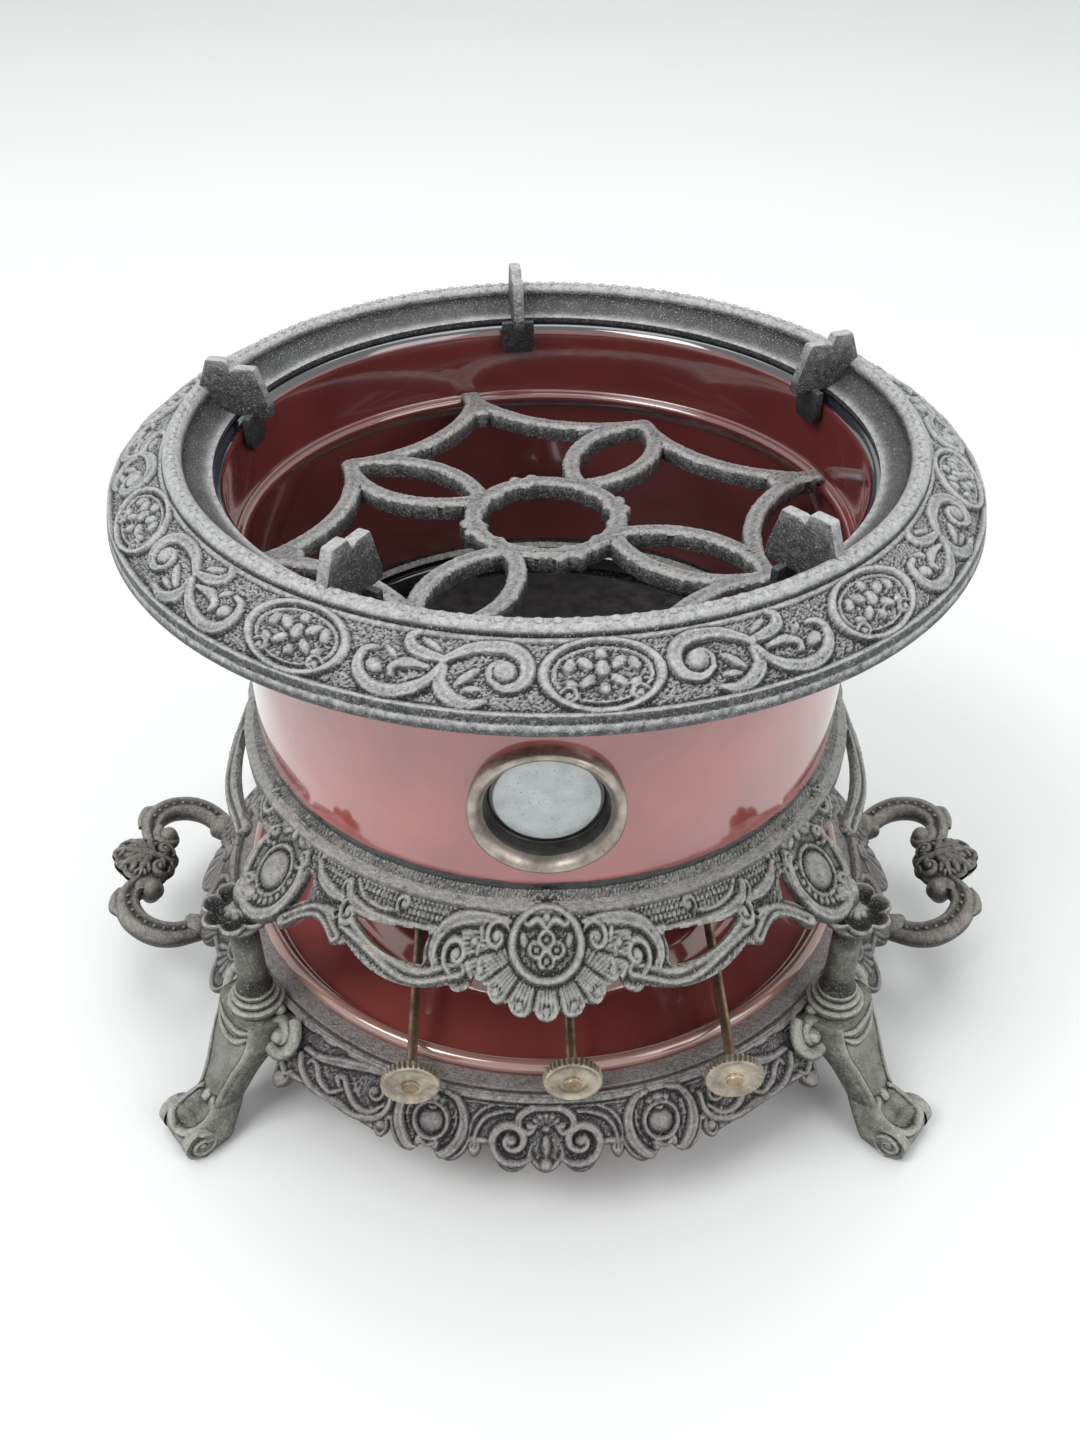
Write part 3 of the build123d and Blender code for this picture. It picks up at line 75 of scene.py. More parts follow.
def spiral(centre, outer, inner, start, turns, steps=26):
    """Points of a scroll that winds inwards; positive turns run anticlockwise from the start."""
    t = np.linspace(0, 1, steps)
    radius = inner + (outer - inner) * (1 - t) ** 1.25
    angle = math.radians(start) + turns * 2 * math.pi * t
    return np.stack([centre[0] + radius * np.cos(angle), centre[1] + radius * np.sin(angle)], 1)


def path_reach(path):
    """Distance along a path at each of its points."""
    return np.concatenate([[0], np.cumsum(np.linalg.norm(np.diff(path, axis=0), axis=1))])


def path_normals(path):
    """Unit normals to the right of a path's direction."""
    run = np.gradient(path, axis=0)
    normal = np.stack([run[:, 1], -run[:, 0]], 1)
    return normal / (np.linalg.norm(normal, axis=1)[:, None] + TINY)


def segment_gap(u, v, a, b):
    """Distance from drawing points to the line from a to b, and how far along it they lie."""
    run = b - a
    along = np.clip(((u - a[0]) * run[0] + (v - a[1]) * run[1]) / max(run @ run, 1e-9), 0, 1)
    return np.hypot(u - a[0] - along * run[0], v - a[1] - along * run[1]), along


def distance_to(u, v, path):
    """Distance from drawing points to a polyline."""
    best = np.full(u.shape, FAR)
    for a, b in zip(path[:-1], path[1:]):
        best = np.minimum(best, segment_gap(u, v, a, b)[0])
    return best


def path_ratio(u, v, path, widths):
    """Distance to a path over its local half width, 1 at the edge of the stroke."""
    reach = path_reach(path)
    reach /= max(reach[-1], 1e-9)
    half = np.interp(reach, np.linspace(0, 1, len(widths)), widths)
    best = np.full(u.shape, FAR)
    for a, b, wa, wb in zip(path[:-1], path[1:], half[:-1], half[1:]):
        apart, along = segment_gap(u, v, a, b)
        best = np.minimum(best, apart / (wa + (wb - wa) * along))
    return best


def rounded(q):
    """A round top: 1 in the middle, 0 where q reaches 1."""
    return np.sqrt(np.clip(1 - q**2, 0, 1))


def squared_off(wave, power):
    """A sine or cosine drawn out towards its ends, for sections between oval and square."""
    return np.sign(wave) * np.abs(wave) ** power


class Relief:
    """Heights over a flat drawing; whatever is drawn rises over what lies there."""

    def __init__(self, u, v):
        self.u, self.v = u, v
        self.h = np.zeros(u.shape)

    def raise_to(self, bump):
        self.h = np.maximum(self.h, bump)

    def stroke(self, points, widths, height, groove=0.0, steps=8):
        """A rounded moulding along a path, with an optional groove down its middle."""
        path = smooth_path(points, steps) if steps else np.array(points)
        q = path_ratio(self.u, self.v, path, widths)
        bump = height * rounded(q)
        if groove:
            bump = bump - groove * np.clip(1 - (q / 0.5) ** 2, 0, 1)
        self.raise_to(bump)

    def scroll(self, centre, outer, start, turns, width, height, eye=0.0, groove=0.0):
        """A spiral moulding that winds in to a round eye."""
        path = spiral(centre, outer, outer * 0.22, start, turns)
        self.stroke(path, (width * 0.55, width, width * 0.6), height, groove, steps=0)
        if eye:
            self.dome(centre, eye, eye, 0, height * 1.15)

    def turned_ratio(self, centre, a, b, angle):
        c, s = math.cos(math.radians(angle)), math.sin(math.radians(angle))
        x, y = self.u - centre[0], self.v - centre[1]
        return np.hypot((x * c + y * s) / a, (y * c - x * s) / b)

    def dome(self, centre, a, b, angle, height, sharp=0.5):
        """A boss on an oval foot."""
        q = self.turned_ratio(centre, a, b, angle)
        self.raise_to(height * np.clip(1 - q**2, 0, 1) ** sharp)

    def rim(self, centre, a, b, angle, width, height):
        """A rounded ring of even width."""
        q = (self.turned_ratio(centre, a, b, angle) - 1) * (a + b) / 2 / width
        self.raise_to(height * rounded(q))

    def sink(self, centre, a, b, angle, depth):
        """A smooth dish pressed in to an oval."""
        q = self.turned_ratio(centre, a, b, angle)
        self.h = self.h - depth * np.clip(1 - q**2, 0, 1)

    def fan(self, centre, inner, outer, start, end, blades, height):
        """Fluted blades spread round a centre, each rounded at its tip."""
        x, y = self.u - centre[0], self.v - centre[1]
        r = np.hypot(x, y)
        turn = (np.degrees(np.arctan2(y, x)) - start) % 360
        place = turn / (end - start) * blades
        across = np.abs(place % 1 - 0.5) * 2
        tip = outer * (1 - 0.12 * across**2)
        inside = (turn < end - start) & (r > inner) & (r < tip)
        swell = rounded(across) * (0.35 + 0.65 * (r - inner) / (outer - inner))
        end_round = np.sqrt(np.clip((tip - r) / 1.4, 0, 1))
        self.raise_to(np.where(inside, height * swell * end_round, 0))

    def leaf(self, points, width, height, lobes):
        """An acanthus leaf: a vein with lobes that shrink to the tip."""
        path = smooth_path(points)
        self.stroke(points, (width * 0.35, width * 0.3, width * 0.12), height)
        for n in range(lobes):
            t = (n + 0.6) / lobes
            k = min(int(t * (len(path) - 1)), len(path) - 2)
            run = path[k + 1] - path[k]
            heading = math.degrees(math.atan2(run[1], run[0]))
            size = width * (1 - 0.62 * t)
            for side in (-1, 1):
                out = math.radians(heading + side * 62)
                centre = path[k] + size * 0.5 * np.array([math.cos(out), math.sin(out)])
                self.dome(centre, size * 0.62, size * 0.3, heading + side * 48, height * 0.85)


# Mesh tools: revolved grids and cast panels

def full_turn(count):
    """Angles of even steps round a circle."""
    return np.linspace(0, 2 * math.pi, count, endpoint=False)


def placed(name, data):
    """An object for the data, in the scene."""
    obj = bpy.data.objects.new(name, data)
    bpy.context.scene.collection.objects.link(obj)
    return obj


def keep_values(mesh, name, values, domain="POINT"):
    """Stores a number on each point or corner of a mesh."""
    made = mesh.attributes.get(name) or mesh.attributes.new(name, "FLOAT", domain)
    made.data.foreach_set("value", np.array(values, np.float32))


def add_material(obj, material):
    obj.data.materials.clear()
    obj.data.materials.append(material)


def mark_form(mesh, depth=0.0002, rounds=7):
    """Keeps how hollow each point lies, -1 on edges and 1 in hollows, and how far it faces up."""
    count = len(mesh.vertices)
    place, normal = np.empty(count * 3, np.float32), np.empty(count * 3, np.float32)
    ends = np.empty(len(mesh.edges) * 2, np.int32)
    mesh.vertices.foreach_get("co", place)
    mesh.vertices.foreach_get("normal", normal)
    mesh.edges.foreach_get("vertices", ends)
    place, normal = place.reshape(-1, 3), normal.reshape(-1, 3)
    a, b = ends.reshape(-1, 2).T
    degree = np.bincount(a, minlength=count) + np.bincount(b, minlength=count)
    degree = np.maximum(degree, 1)[:, None]
    soft = place.astype(float)
    for _ in range(rounds):
        near = [np.bincount(a, soft[b, k], count) + np.bincount(b, soft[a, k], count)
                for k in range(3)]
        soft = 0.5 * soft + 0.5 * np.stack(near, 1) / degree
    keep_values(mesh, "hollow", np.clip(((soft - place) * normal).sum(1) / depth, -1, 1))
    turned = np.empty(len(mesh.loops) * 3, np.float32)
    mesh.corner_normals.foreach_get("vector", turned)
    keep_values(mesh, "upward", turned[2::3], "CORNER")


def make_piece(name, made, material, body, replaces=(), sharp=None):
    """A finished mesh from points in millimetres, faces and relief, riding on a body."""
    verts, faces, relief = made
    mesh = bpy.data.meshes.new(name)
    mesh.from_pydata((np.asarray(verts, float) * MM).tolist(), [], [list(f) for f in faces])
    mesh.update()
    mesh.polygons.foreach_set("use_smooth", [True] * len(mesh.polygons))
    if relief is not None:
        keep_values(mesh, "relief", relief)
    obj = placed(name, mesh)
    if sharp is not None:
        crisp(obj, sharp)
    return dress(obj, material, body, replaces)


def dress(obj, material, body, replaces=()):
    """Gives a mesh its finish, its body and the solids that it stands for."""
    add_material(obj, material)
    mark_form(obj.data)
    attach(obj, body)
    if replaces:
        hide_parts(*replaces)
    return obj


def ring_faces(rows, count):
    """Quads between rows of points that run round and close."""
    i, j = np.meshgrid(np.arange(rows - 1) * count, np.arange(count), indexing="ij")
    k = (j + 1) % count
    return np.stack([i + j, i + k, i + count + k, i + count + j], -1).reshape(-1, 4)


def capped_faces(rows, count):
    """The same, with a face over each end."""
    faces = [tuple(f) for f in ring_faces(rows, count)]
    return faces + [tuple(range(count))[::-1], tuple(range((rows - 1) * count, rows * count))]


def revolved(profile, count, displace=None):
    """Points and faces of a profile of (radius, height) turned round Z, its faces outwards.

    displace gives millimetres along the profile's normal for each profile point and step.
    """
    profile = np.array(profile, float)
    normal = path_normals(profile)
    turn = full_turn(count)
    depth = np.zeros((len(profile), count)) if displace is None else displace
    r = profile[:, :1] + normal[:, :1] * depth
    z = profile[:, 1:] + normal[:, 1:] * depth
    verts = np.stack([r * np.cos(turn), r * np.sin(turn), z + 0 * turn], -1).reshape(-1, 3)
    return verts, ring_faces(len(profile), count), depth.reshape(-1)


def closed_revolve(profile, count, displace=None):
    """A revolved profile that runs anticlockwise and closes on itself, so it has no edge."""
    verts, faces, depth = revolved(profile, count, displace)
    j = np.arange(count)
    k = (j + 1) % count
    last = (len(profile) - 1) * count
    return verts, np.vstack([faces, np.stack([last + j, last + k, k, j], 1)]), depth


def panel_mesh(u, v, field, wrap=False):
    """Marching squares: the part of a grid where field is over zero, cut along its contour.

    Returns drawing points, polygons (anticlockwise in index space) and the open edges.
    """
    cols, rows = field.shape
    last = cols if wrap else cols - 1
    inside = field > 0
    ident = -np.ones((3, cols, rows), int)
    points = [np.stack([u[inside], v[inside]], 1)]
    ident[0][inside] = np.arange(inside.sum())
    count = inside.sum()
    steps = {1: (1, 0), 2: (0, 1)}
    for kind, (di, dj) in steps.items():
        i, j = np.meshgrid(np.arange(last if di else cols), np.arange(rows - dj), indexing="ij")
        i, j = i.ravel(), j.ravel()
        i2 = (i + di) % cols
        j2 = j + dj
        cross = inside[i, j] != inside[i2, j2]
        i, j, i2, j2 = i[cross], j[cross], i2[cross], j2[cross]
        t = field[i, j] / (field[i, j] - field[i2, j2])
        t = np.clip(t, 0.02, 0.98)
        u2 = u[i2, j2].copy()
        if wrap and di:
            u2[i2 == 0] += (u[-1, 0] - u[0, 0]) * cols / (cols - 1)
        across, along = u[i, j] + t * (u2 - u[i, j]), v[i, j] + t * (v[i2, j2] - v[i, j])
        points.append(np.stack([across, along], 1))
        ident[kind][i, j] = count + np.arange(len(i))
        count += len(i)
    i, j = np.meshgrid(np.arange(last), np.arange(rows - 1), indexing="ij")
    i, j = i.ravel(), j.ravel()
    k = (i + 1) % cols
    ring = np.stack([ident[0][i, j], ident[1][i, j], ident[0][k, j], ident[2][k, j],
                     ident[0][k, j + 1], ident[1][i, j + 1], ident[0][i, j + 1], ident[2][i, j]],
                    1)
    used = ring >= 0
    faces = [tuple(row[keep]) for row, keep in zip(ring, used) if keep.sum() > 2]
    starts = np.concatenate(faces)
    ends = np.concatenate([np.roll(f, -1) for f in faces])
    total = int(count)
    free = ~np.isin(starts * total + ends, ends * total + starts)
    return np.vstack(points), faces, np.stack([starts[free], ends[free]], 1)


def cast_panel(u, v, field, height, place, thickness, wrap=False, flip=False):
    """A casting with a relief face, a plain back and walls along its cut contour.

    height and place take drawing points; place also takes the distance over the face.
    """
    points, faces, edges = panel_mesh(u, v, field, wrap)
    lift = height(points[:, 0], points[:, 1])
    front = place(points[:, 0], points[:, 1], lift)
    back = place(points[:, 0], points[:, 1], -thickness + 0 * lift)
    n = len(points)
    walls = [(b, a, a + n, b + n) for a, b in edges]
    every = faces + [tuple(x + n for x in f[::-1]) for f in faces] + walls
    if flip:
        every = [f[::-1] for f in every]
    return np.vstack([front, back]), every, np.concatenate([lift, -1 + 0 * lift])


def sampled(u, v, values):
    """Reads a grid of values at any drawing points, evenly spaced both ways."""
    u0, v0 = u[0, 0], v[0, 0]
    du, dv = u[1, 0] - u0, v[0, 1] - v0

    def read(x, y):
        i = np.clip((x - u0) / du, 0, values.shape[0] - 1.001)
        j = np.clip((y - v0) / dv, 0, values.shape[1] - 1.001)
        i0, j0 = np.floor(i).astype(int), np.floor(j).astype(int)
        a, b = i - i0, j - j0
        return ((1 - a) * (1 - b) * values[i0, j0] + a * (1 - b) * values[i0 + 1, j0]
                + (1 - a) * b * values[i0, j0 + 1] + a * b * values[i0 + 1, j0 + 1])

    return read


# Materials: node helpers and the finishes of the stove

def rgba(colour):
    """A colour with its alpha; a socket stays as it is."""
    return (*colour, 1) if isinstance(colour, tuple) else colour


def scaled(colour, level):
    """A darker or brighter tone of a colour."""
    return tuple(min(1.0, c * level) for c in colour)


class NodeTree:
    """Adds nodes to a tree with short calls."""

    def __init__(self, tree):
        self.tree = tree
        tree.nodes.clear()

    def node(self, kind, values=(), **settings):
        """A node with its settings, then its inputs by name or index."""
        made = self.tree.nodes.new(kind)
        for key, value in settings.items():
            setattr(made, key, value)
        for key, value in dict(values).items():
            if isinstance(value, bpy.types.NodeSocket):
                self.tree.links.new(value, made.inputs[key])
            else:
                made.inputs[key].default_value = value
        return made

    def put(self, kind, values=(), **settings):
        """The first output of a node made in the same way."""
        return self.node(kind, values, **settings).outputs[0]

    def sum(self, operation, a, b=0.0):
        return self.put("ShaderNodeMath", {0: a, 1: b}, operation=operation)


class Recipe(NodeTree):
    """One material and its nodes."""

    def __init__(self, name):
        self.material = bpy.data.materials.get(name) or bpy.data.materials.new(name)
        self.material.use_nodes = True
        super().__init__(self.material.node_tree)
        self.coords = self.node("ShaderNodeTexCoord").outputs["Object"]

    def noise(self, scale, detail=3.0, roughness=0.55):
        return self.node("ShaderNodeTexNoise", {
            "Vector": self.coords, "Scale": scale, "Detail": detail, "Roughness": roughness,
        }).outputs["Fac"]

    def cells(self, scale):
        return self.node("ShaderNodeTexVoronoi", {
            "Vector": self.coords, "Scale": scale}).outputs["Distance"]

    def mix(self, fac, a, b):
        return self.node("ShaderNodeMix", {0: fac, 6: rgba(a), 7: rgba(b)},
                         data_type="RGBA").outputs[2]

    def spread(self, value, low, high, to_low=0.0, to_high=1.0):
        return self.node("ShaderNodeMapRange", {
            "Value": value, "From Min": low, "From Max": high, "To Min": to_low,
            "To Max": to_high}).outputs["Result"]

    def attribute(self, name="relief"):
        return self.node("ShaderNodeAttribute", attribute_name=name).outputs["Fac"]

    def height(self):
        return self.node("ShaderNodeSeparateXYZ", {0: self.coords}).outputs["Z"]

    def bump(self, value, strength, distance, below=None):
        values = {"Strength": strength, "Distance": distance, "Height": value}
        if below is not None:
            values["Normal"] = below
        return self.node("ShaderNodeBump", values).outputs["Normal"]

    def finish(self, colour, rough, metal=0.0, normal=None, **sockets):
        """Ends the material with one shader; sockets name its other inputs."""
        values = {"Base Color": rgba(colour), "Roughness": rough, "Metallic": metal}
        values.update((key.replace("_", " "), value) for key, value in sockets.items())
        if normal is not None:
            values["Normal"] = normal
        shader = self.node("ShaderNodeBsdfPrincipled", values)
        self.node("ShaderNodeOutputMaterial", {0: shader.outputs[0]})
        return self.material


def cast_iron(name, deep, body, worn, grain=1.0, has_relief=True, rough=(0.42, 0.7),
              side=(0.1, 0.62)):
    """Sand-cast iron: granular skin with specks partly painted as glints, painted shade in hollows
    and on side faces, rubbed edges and high places, the edges painted lighter where they face up.
    """
    m = Recipe(name)
    sand = m.noise(1500 * grain, 4.0, 0.7)
    pits = m.cells(900 * grain)
    patch = m.noise(160, 5.0, 0.65)
    hollow = m.attribute("hollow")
    half = tuple((d + b) / 2 for d, b in zip(deep, body))
    base = m.mix(m.spread(m.noise(38, 4.0, 0.6), 0.35, 0.68), half, body)
    base = m.mix(m.spread(patch, 0.42, 0.72, 0.0, 0.4), base, worn)
    if has_relief:
        high = m.spread(m.attribute(), 0.2, 2.0)
        rubbed = m.sum("MULTIPLY", high, m.spread(m.noise(420, 4.0, 0.7), 0.32, 0.62))
        base = m.mix(m.sum("MULTIPLY", rubbed, 0.5), base, worn)
    uneven = m.sum("MULTIPLY", m.sum("SUBTRACT", patch, 0.5), 0.5)
    faces_up = m.sum("ADD", m.attribute("upward"), uneven)
    # Painted shade on the sides: faces that turn away from the top, below the range side, take a
    # dark rugged tone.
    side_shade = m.mix(m.spread(m.noise(330 * grain, 5.0, 0.75), 0.5, 0.66, 0.0, 0.6), deep, body)
    base = m.mix(m.spread(faces_up, *side, 0.9, 0.0), base, side_shade)
    rub = m.spread(m.noise(520, 3.0, 0.7), 0.3, 0.6)
    # Rubbed edges turn to the worn tone, far more where they face up: wear, with painted top
    # light.
    edge = m.sum("MULTIPLY", m.spread(hollow, -0.9, -0.1, 1.0, 0.0), rub)
    base = m.mix(m.sum("MULTIPLY", edge, m.spread(faces_up, *side, 0.08, 0.8)), base, worn)
    # Painted shade: hollows darken to the deep tone and then towards near black.
    base = m.mix(m.spread(hollow, 0.08, 0.75, 0.0, 0.9), base, deep)
    base = m.mix(m.spread(hollow, 0.5, 1.0, 0.0, 0.75), base, scaled(deep, 0.3))
    # Sand grain: the high specks are painted brighter than the worn tone as glints.
    base = m.mix(m.spread(sand, 0.56, 0.74, 0.0, 0.75), base, scaled(worn, 1.6))
    base = m.mix(m.spread(sand, 0.26, 0.42, 0.75, 0.0), base, scaled(deep, 0.6))
    normal = m.bump(sand, 0.8, 0.0007)
    normal = m.bump(pits, 0.35, 0.0008, normal)
    normal = m.bump(patch, 0.35, 0.001, normal)
    return m.finish(base, m.spread(sand, 0.35, 0.7, *rough), 0.55, normal, Specular_IOR_Level=0.8)


def enamel(name, colour, shade, edge_heights=()):
    """Glossy vitreous enamel, darker in patches, black-blue where the sheet's edges are, with
    painted shade where the relief value is high.
    """
    m = Recipe(name)
    clouds = m.noise(22, 3.0, 0.5)
    base = m.mix(m.spread(clouds, 0.3, 0.7, 0.25, 1.0), shade, colour)
    fleck = m.noise(700, 2.0, 0.5)
    base = m.mix(m.spread(fleck, 0.66, 0.74, 0.0, 0.25), base, scaled(colour, 0.45))
    # Painted shade: where the relief value is high, as on the drum's inside, the enamel goes
    # darker.
    base = m.mix(m.spread(m.attribute(), 0.4, 0.9, 0.0, 0.6), base, scaled(shade, 0.3))
    for centre, reach in edge_heights:
        apart = m.sum("ABSOLUTE", m.sum("SUBTRACT", m.height(), centre))
        wander = m.sum("MULTIPLY", m.sum("SUBTRACT", m.noise(60, 2.0), 0.5), 0.0022)
        near = m.spread(m.sum("ADD", apart, wander), reach, reach + 0.0006, 1.0, 0.0)
        base = m.mix(near, base, (0.006, 0.007, 0.013))
    ripple = m.bump(m.noise(55, 2.0, 0.5), 0.12, 0.0008)
    normal = m.bump(m.noise(900, 2.0, 0.5), 0.05, 0.0002, ripple)
    return m.finish(base, m.spread(m.noise(90, 3.0), 0.3, 0.7, 0.07, 0.16), 0.0, normal,
                    IOR=1.8, Coat_Weight=1.0, Coat_IOR=1.55, Coat_Roughness=0.03)


def metal(name, bright, dull, rough=(0.28, 0.5), scratch=400, metal_level=0.9):
    """Worn plain metal with stains and fine scratches."""
    m = Recipe(name)
    stain = m.noise(120, 5.0, 0.65)
    fine = m.noise(scratch, 3.0, 0.6)
    base = m.mix(m.spread(stain, 0.38, 0.66), bright, dull)
    spots = m.spread(m.noise(900, 3.0, 0.7), 0.6, 0.75, 0.0, 0.6)
    base = m.mix(spots, base, scaled(dull, 0.35))
    normal = m.bump(fine, 0.18, 0.0003)
    return m.finish(base, m.spread(stain, 0.3, 0.7, *rough), metal_level, normal)


def mica():
    """Pale cloudy mica with specks, and a painted shadow ring where its relief value is high."""
    m = Recipe("mica_pane")
    cloud = m.noise(130, 4.0, 0.6)
    base = m.mix(m.spread(cloud, 0.35, 0.7), (0.6, 0.63, 0.63), (0.42, 0.46, 0.47))
    base = m.mix(m.spread(m.noise(1300, 2.0, 0.6), 0.66, 0.7), base, (0.1, 0.1, 0.1))
    # Painted shadow: near black where the relief value is high, round the pane's edge under the
    # bezel.
    base = m.mix(m.spread(m.attribute(), 0.45, 0.75), base, (0.012, 0.013, 0.014))
    return m.finish(base, m.spread(m.noise(300, 3.0), 0.3, 0.7, 0.05, 0.2), 0.0,
                    m.bump(m.noise(90, 2.0), 0.1, 0.0006), IOR=1.55, Coat_Weight=0.5)


def woven_wick():
    """Woven cotton, yellowed and charred at its top edge."""
    m = Recipe("wick_cotton")
    wave = m.node("ShaderNodeTexWave", {"Vector": m.coords, "Scale": 420},
                  bands_direction="Z").outputs["Fac"]
    base = m.mix(wave, (0.42, 0.37, 0.27), (0.66, 0.6, 0.47))
    ragged = m.sum("ADD", m.height(), m.sum("MULTIPLY", m.noise(200), 0.004))
    base = m.mix(m.spread(ragged, 0.126, 0.132), base, (0.02, 0.018, 0.016))
    return m.finish(base, 0.95, 0.0, m.bump(wave, 0.5, 0.0006))


class Finishes:
    """All the finishes, made once and shared."""

    def __init__(self, tones):
        red, brass = tuple(tones.enamel), tuple(tones.brass)
        self.ring_iron = cast_iron(
            "ring_grey_iron", (0.02, 0.02, 0.023), (0.25, 0.247, 0.252), (0.56, 0.555, 0.552))
        self.grate_iron = cast_iron(
            "grate_grey_iron", (0.016, 0.015, 0.016), (0.17, 0.164, 0.166), (0.44, 0.43, 0.425),
            0.8, side=(0.2, 0.8))
        self.frame_iron = cast_iron(
            "bronzed_frame_iron", (0.012, 0.011, 0.011), (0.155, 0.15, 0.146),
            (0.52, 0.502, 0.476), rough=(0.3, 0.55))
        self.base_iron = cast_iron(
            "brown_base_iron", (0.017, 0.014, 0.014), (0.122, 0.112, 0.112),
            (0.385, 0.36, 0.352), rough=(0.32, 0.58))
        self.leg_iron = cast_iron(
            "olive_leg_iron", (0.026, 0.025, 0.02), (0.215, 0.21, 0.186), (0.5, 0.488, 0.44),
            rough=(0.3, 0.54), side=(-0.2, 0.3))
        self.handle_iron = cast_iron(
            "dark_handle_iron", (0.016, 0.014, 0.013), (0.11, 0.1, 0.096), (0.36, 0.33, 0.3),
            rough=(0.3, 0.54))
        # Painted shade: the tongues are cast with the ring but get this near-black iron because
        # they hang in shade inside the drum.
        self.tongue_shade_iron = cast_iron(
            "plain_black_iron", (0.01, 0.01, 0.012), (0.045, 0.045, 0.05), (0.16, 0.16, 0.165),
            has_relief=False)
        bands = ((0.1425, 0.0056), (0.2585, 0.0045))
        self.red = enamel("ox_blood_enamel", red, scaled(red, 0.55), bands)
        self.tank_red = enamel("ox_blood_tank_enamel", scaled(red, 0.9), scaled(red, 0.5))
        self.rim_copper = enamel("coppery_rim_enamel", (0.42, 0.23, 0.19), (0.27, 0.11, 0.09))
        self.brass = metal("aged_brass", brass, scaled(brass, 0.48))
        self.bezel_brass = metal(
            "bezel_brass", (0.46, 0.4, 0.35), (0.23, 0.195, 0.17), (0.3, 0.5))
        self.rod = metal("rusty_rod", (0.42, 0.3, 0.19), (0.17, 0.11, 0.08), (0.35, 0.6), 900)
        self.tube_brass = metal("smoked_brass", (0.28, 0.2, 0.11), (0.11, 0.08, 0.05), (0.4, 0.6))
        self.burnt = metal(
            "heat_dark_sheet", (0.075, 0.072, 0.07), (0.025, 0.024, 0.024), (0.4, 0.65), 300, 0.6)
        # Painted shade: the bore inside the window's rim, near black.
        self.bore_shade = metal(
            "sooted_bore", (0.05, 0.048, 0.044), (0.01, 0.01, 0.011), (0.4, 0.7), 500, 0.4)
        self.steel = metal("bolt_steel", (0.22, 0.21, 0.2), (0.09, 0.08, 0.075), (0.35, 0.6))
        self.mica = mica()
        self.wick = woven_wick()
        self.cork = metal(
            "cork_gasket", (0.1, 0.07, 0.045), (0.05, 0.035, 0.02), (0.8, 0.95), 700, 0.0)


_made = []


def finishes():
    """The stove's finishes in the colours that the settings give."""
    if not _made:
        _made.append(Finishes(bpy.context.scene.stove_tones))
    return _made[0]


# Sizes and colours that a user would change

class StoveTones(bpy.types.PropertyGroup):
    """Colours of the enamel, the brass and the floor"""
    enamel: bpy.props.FloatVectorProperty(
        name="Enamel", description="Colour of the drum's and the tank's enamel", subtype="COLOR",
        default=(0.39, 0.082, 0.075), min=0, max=1)
    brass: bpy.props.FloatVectorProperty(
        name="Brass", description="Colour of the knobs and the filler cap", subtype="COLOR",
        default=(0.5, 0.43, 0.34), min=0, max=1)
    floor: bpy.props.FloatVectorProperty(
        name="Floor", description="Colour of the floor under the stove", subtype="COLOR",
        default=(0.9, 0.92, 0.905), min=0, max=1)


class ReliefSizes(bpy.types.PropertyGroup):
    """Depths and counts of the repeated forms"""
    band_ground: bpy.props.FloatProperty(
        name="Band ground", description="How deep the ground of the top ring's band lies",
        default=0.00095, unit="LENGTH")
    bead_count: bpy.props.IntProperty(
        name="Ridge beads", description="Beads on the ridge of the top ring", default=150, min=3)
    bead_radius: bpy.props.FloatProperty(
        name="Ridge bead radius", description="Half the width of a bead on the ridge",
        default=0.0017, unit="LENGTH")
    dent_depth: bpy.props.FloatProperty(
        name="Drum dents", description="How far the drum's wall is out of true",
        default=0.00018, unit="LENGTH")
    knurls: bpy.props.IntProperty(
        name="Knob knurls", description="Grooves round each knob", default=36, min=8)
    knurl_depth: bpy.props.FloatProperty(
        name="Knurl depth", description="Depth of a knob's grooves", default=0.0006, unit="LENGTH")
    post_radius: bpy.props.FloatProperty(
        name="Post radius", description="Half the width of a column at its foot collar",
        default=0.0115, unit="LENGTH")
    pearl_radius: bpy.props.FloatProperty(
        name="Pearl radius", description="Half the width of a pearl in the handles' channels",
        default=0.001, unit="LENGTH")


# Outline tools

def arc_through(a, b, c, steps=12):
    """Points of the arc from a through b to c."""
    a, b, c = (np.array(p, float) for p in (a, b, c))
    d = 2 * (a[0] * (b[1] - c[1]) + b[0] * (c[1] - a[1]) + c[0] * (a[1] - b[1]))
    centre = np.array([
        (a @ a) * (b[1] - c[1]) + (b @ b) * (c[1] - a[1]) + (c @ c) * (a[1] - b[1]),
        (a @ a) * (c[0] - b[0]) + (b @ b) * (a[0] - c[0]) + (c @ c) * (b[0] - a[0]),
    ]) / d
    first, middle, last = (math.atan2(*(p - centre)[::-1]) for p in (a, b, c))
    turn = (last - first) % (2 * math.pi)
    if (middle - first) % (2 * math.pi) > turn:
        turn -= 2 * math.pi
    t = first + turn * np.linspace(0, 1, steps)
    return centre + np.hypot(*(a - centre)) * np.stack([np.cos(t), np.sin(t)], 1)


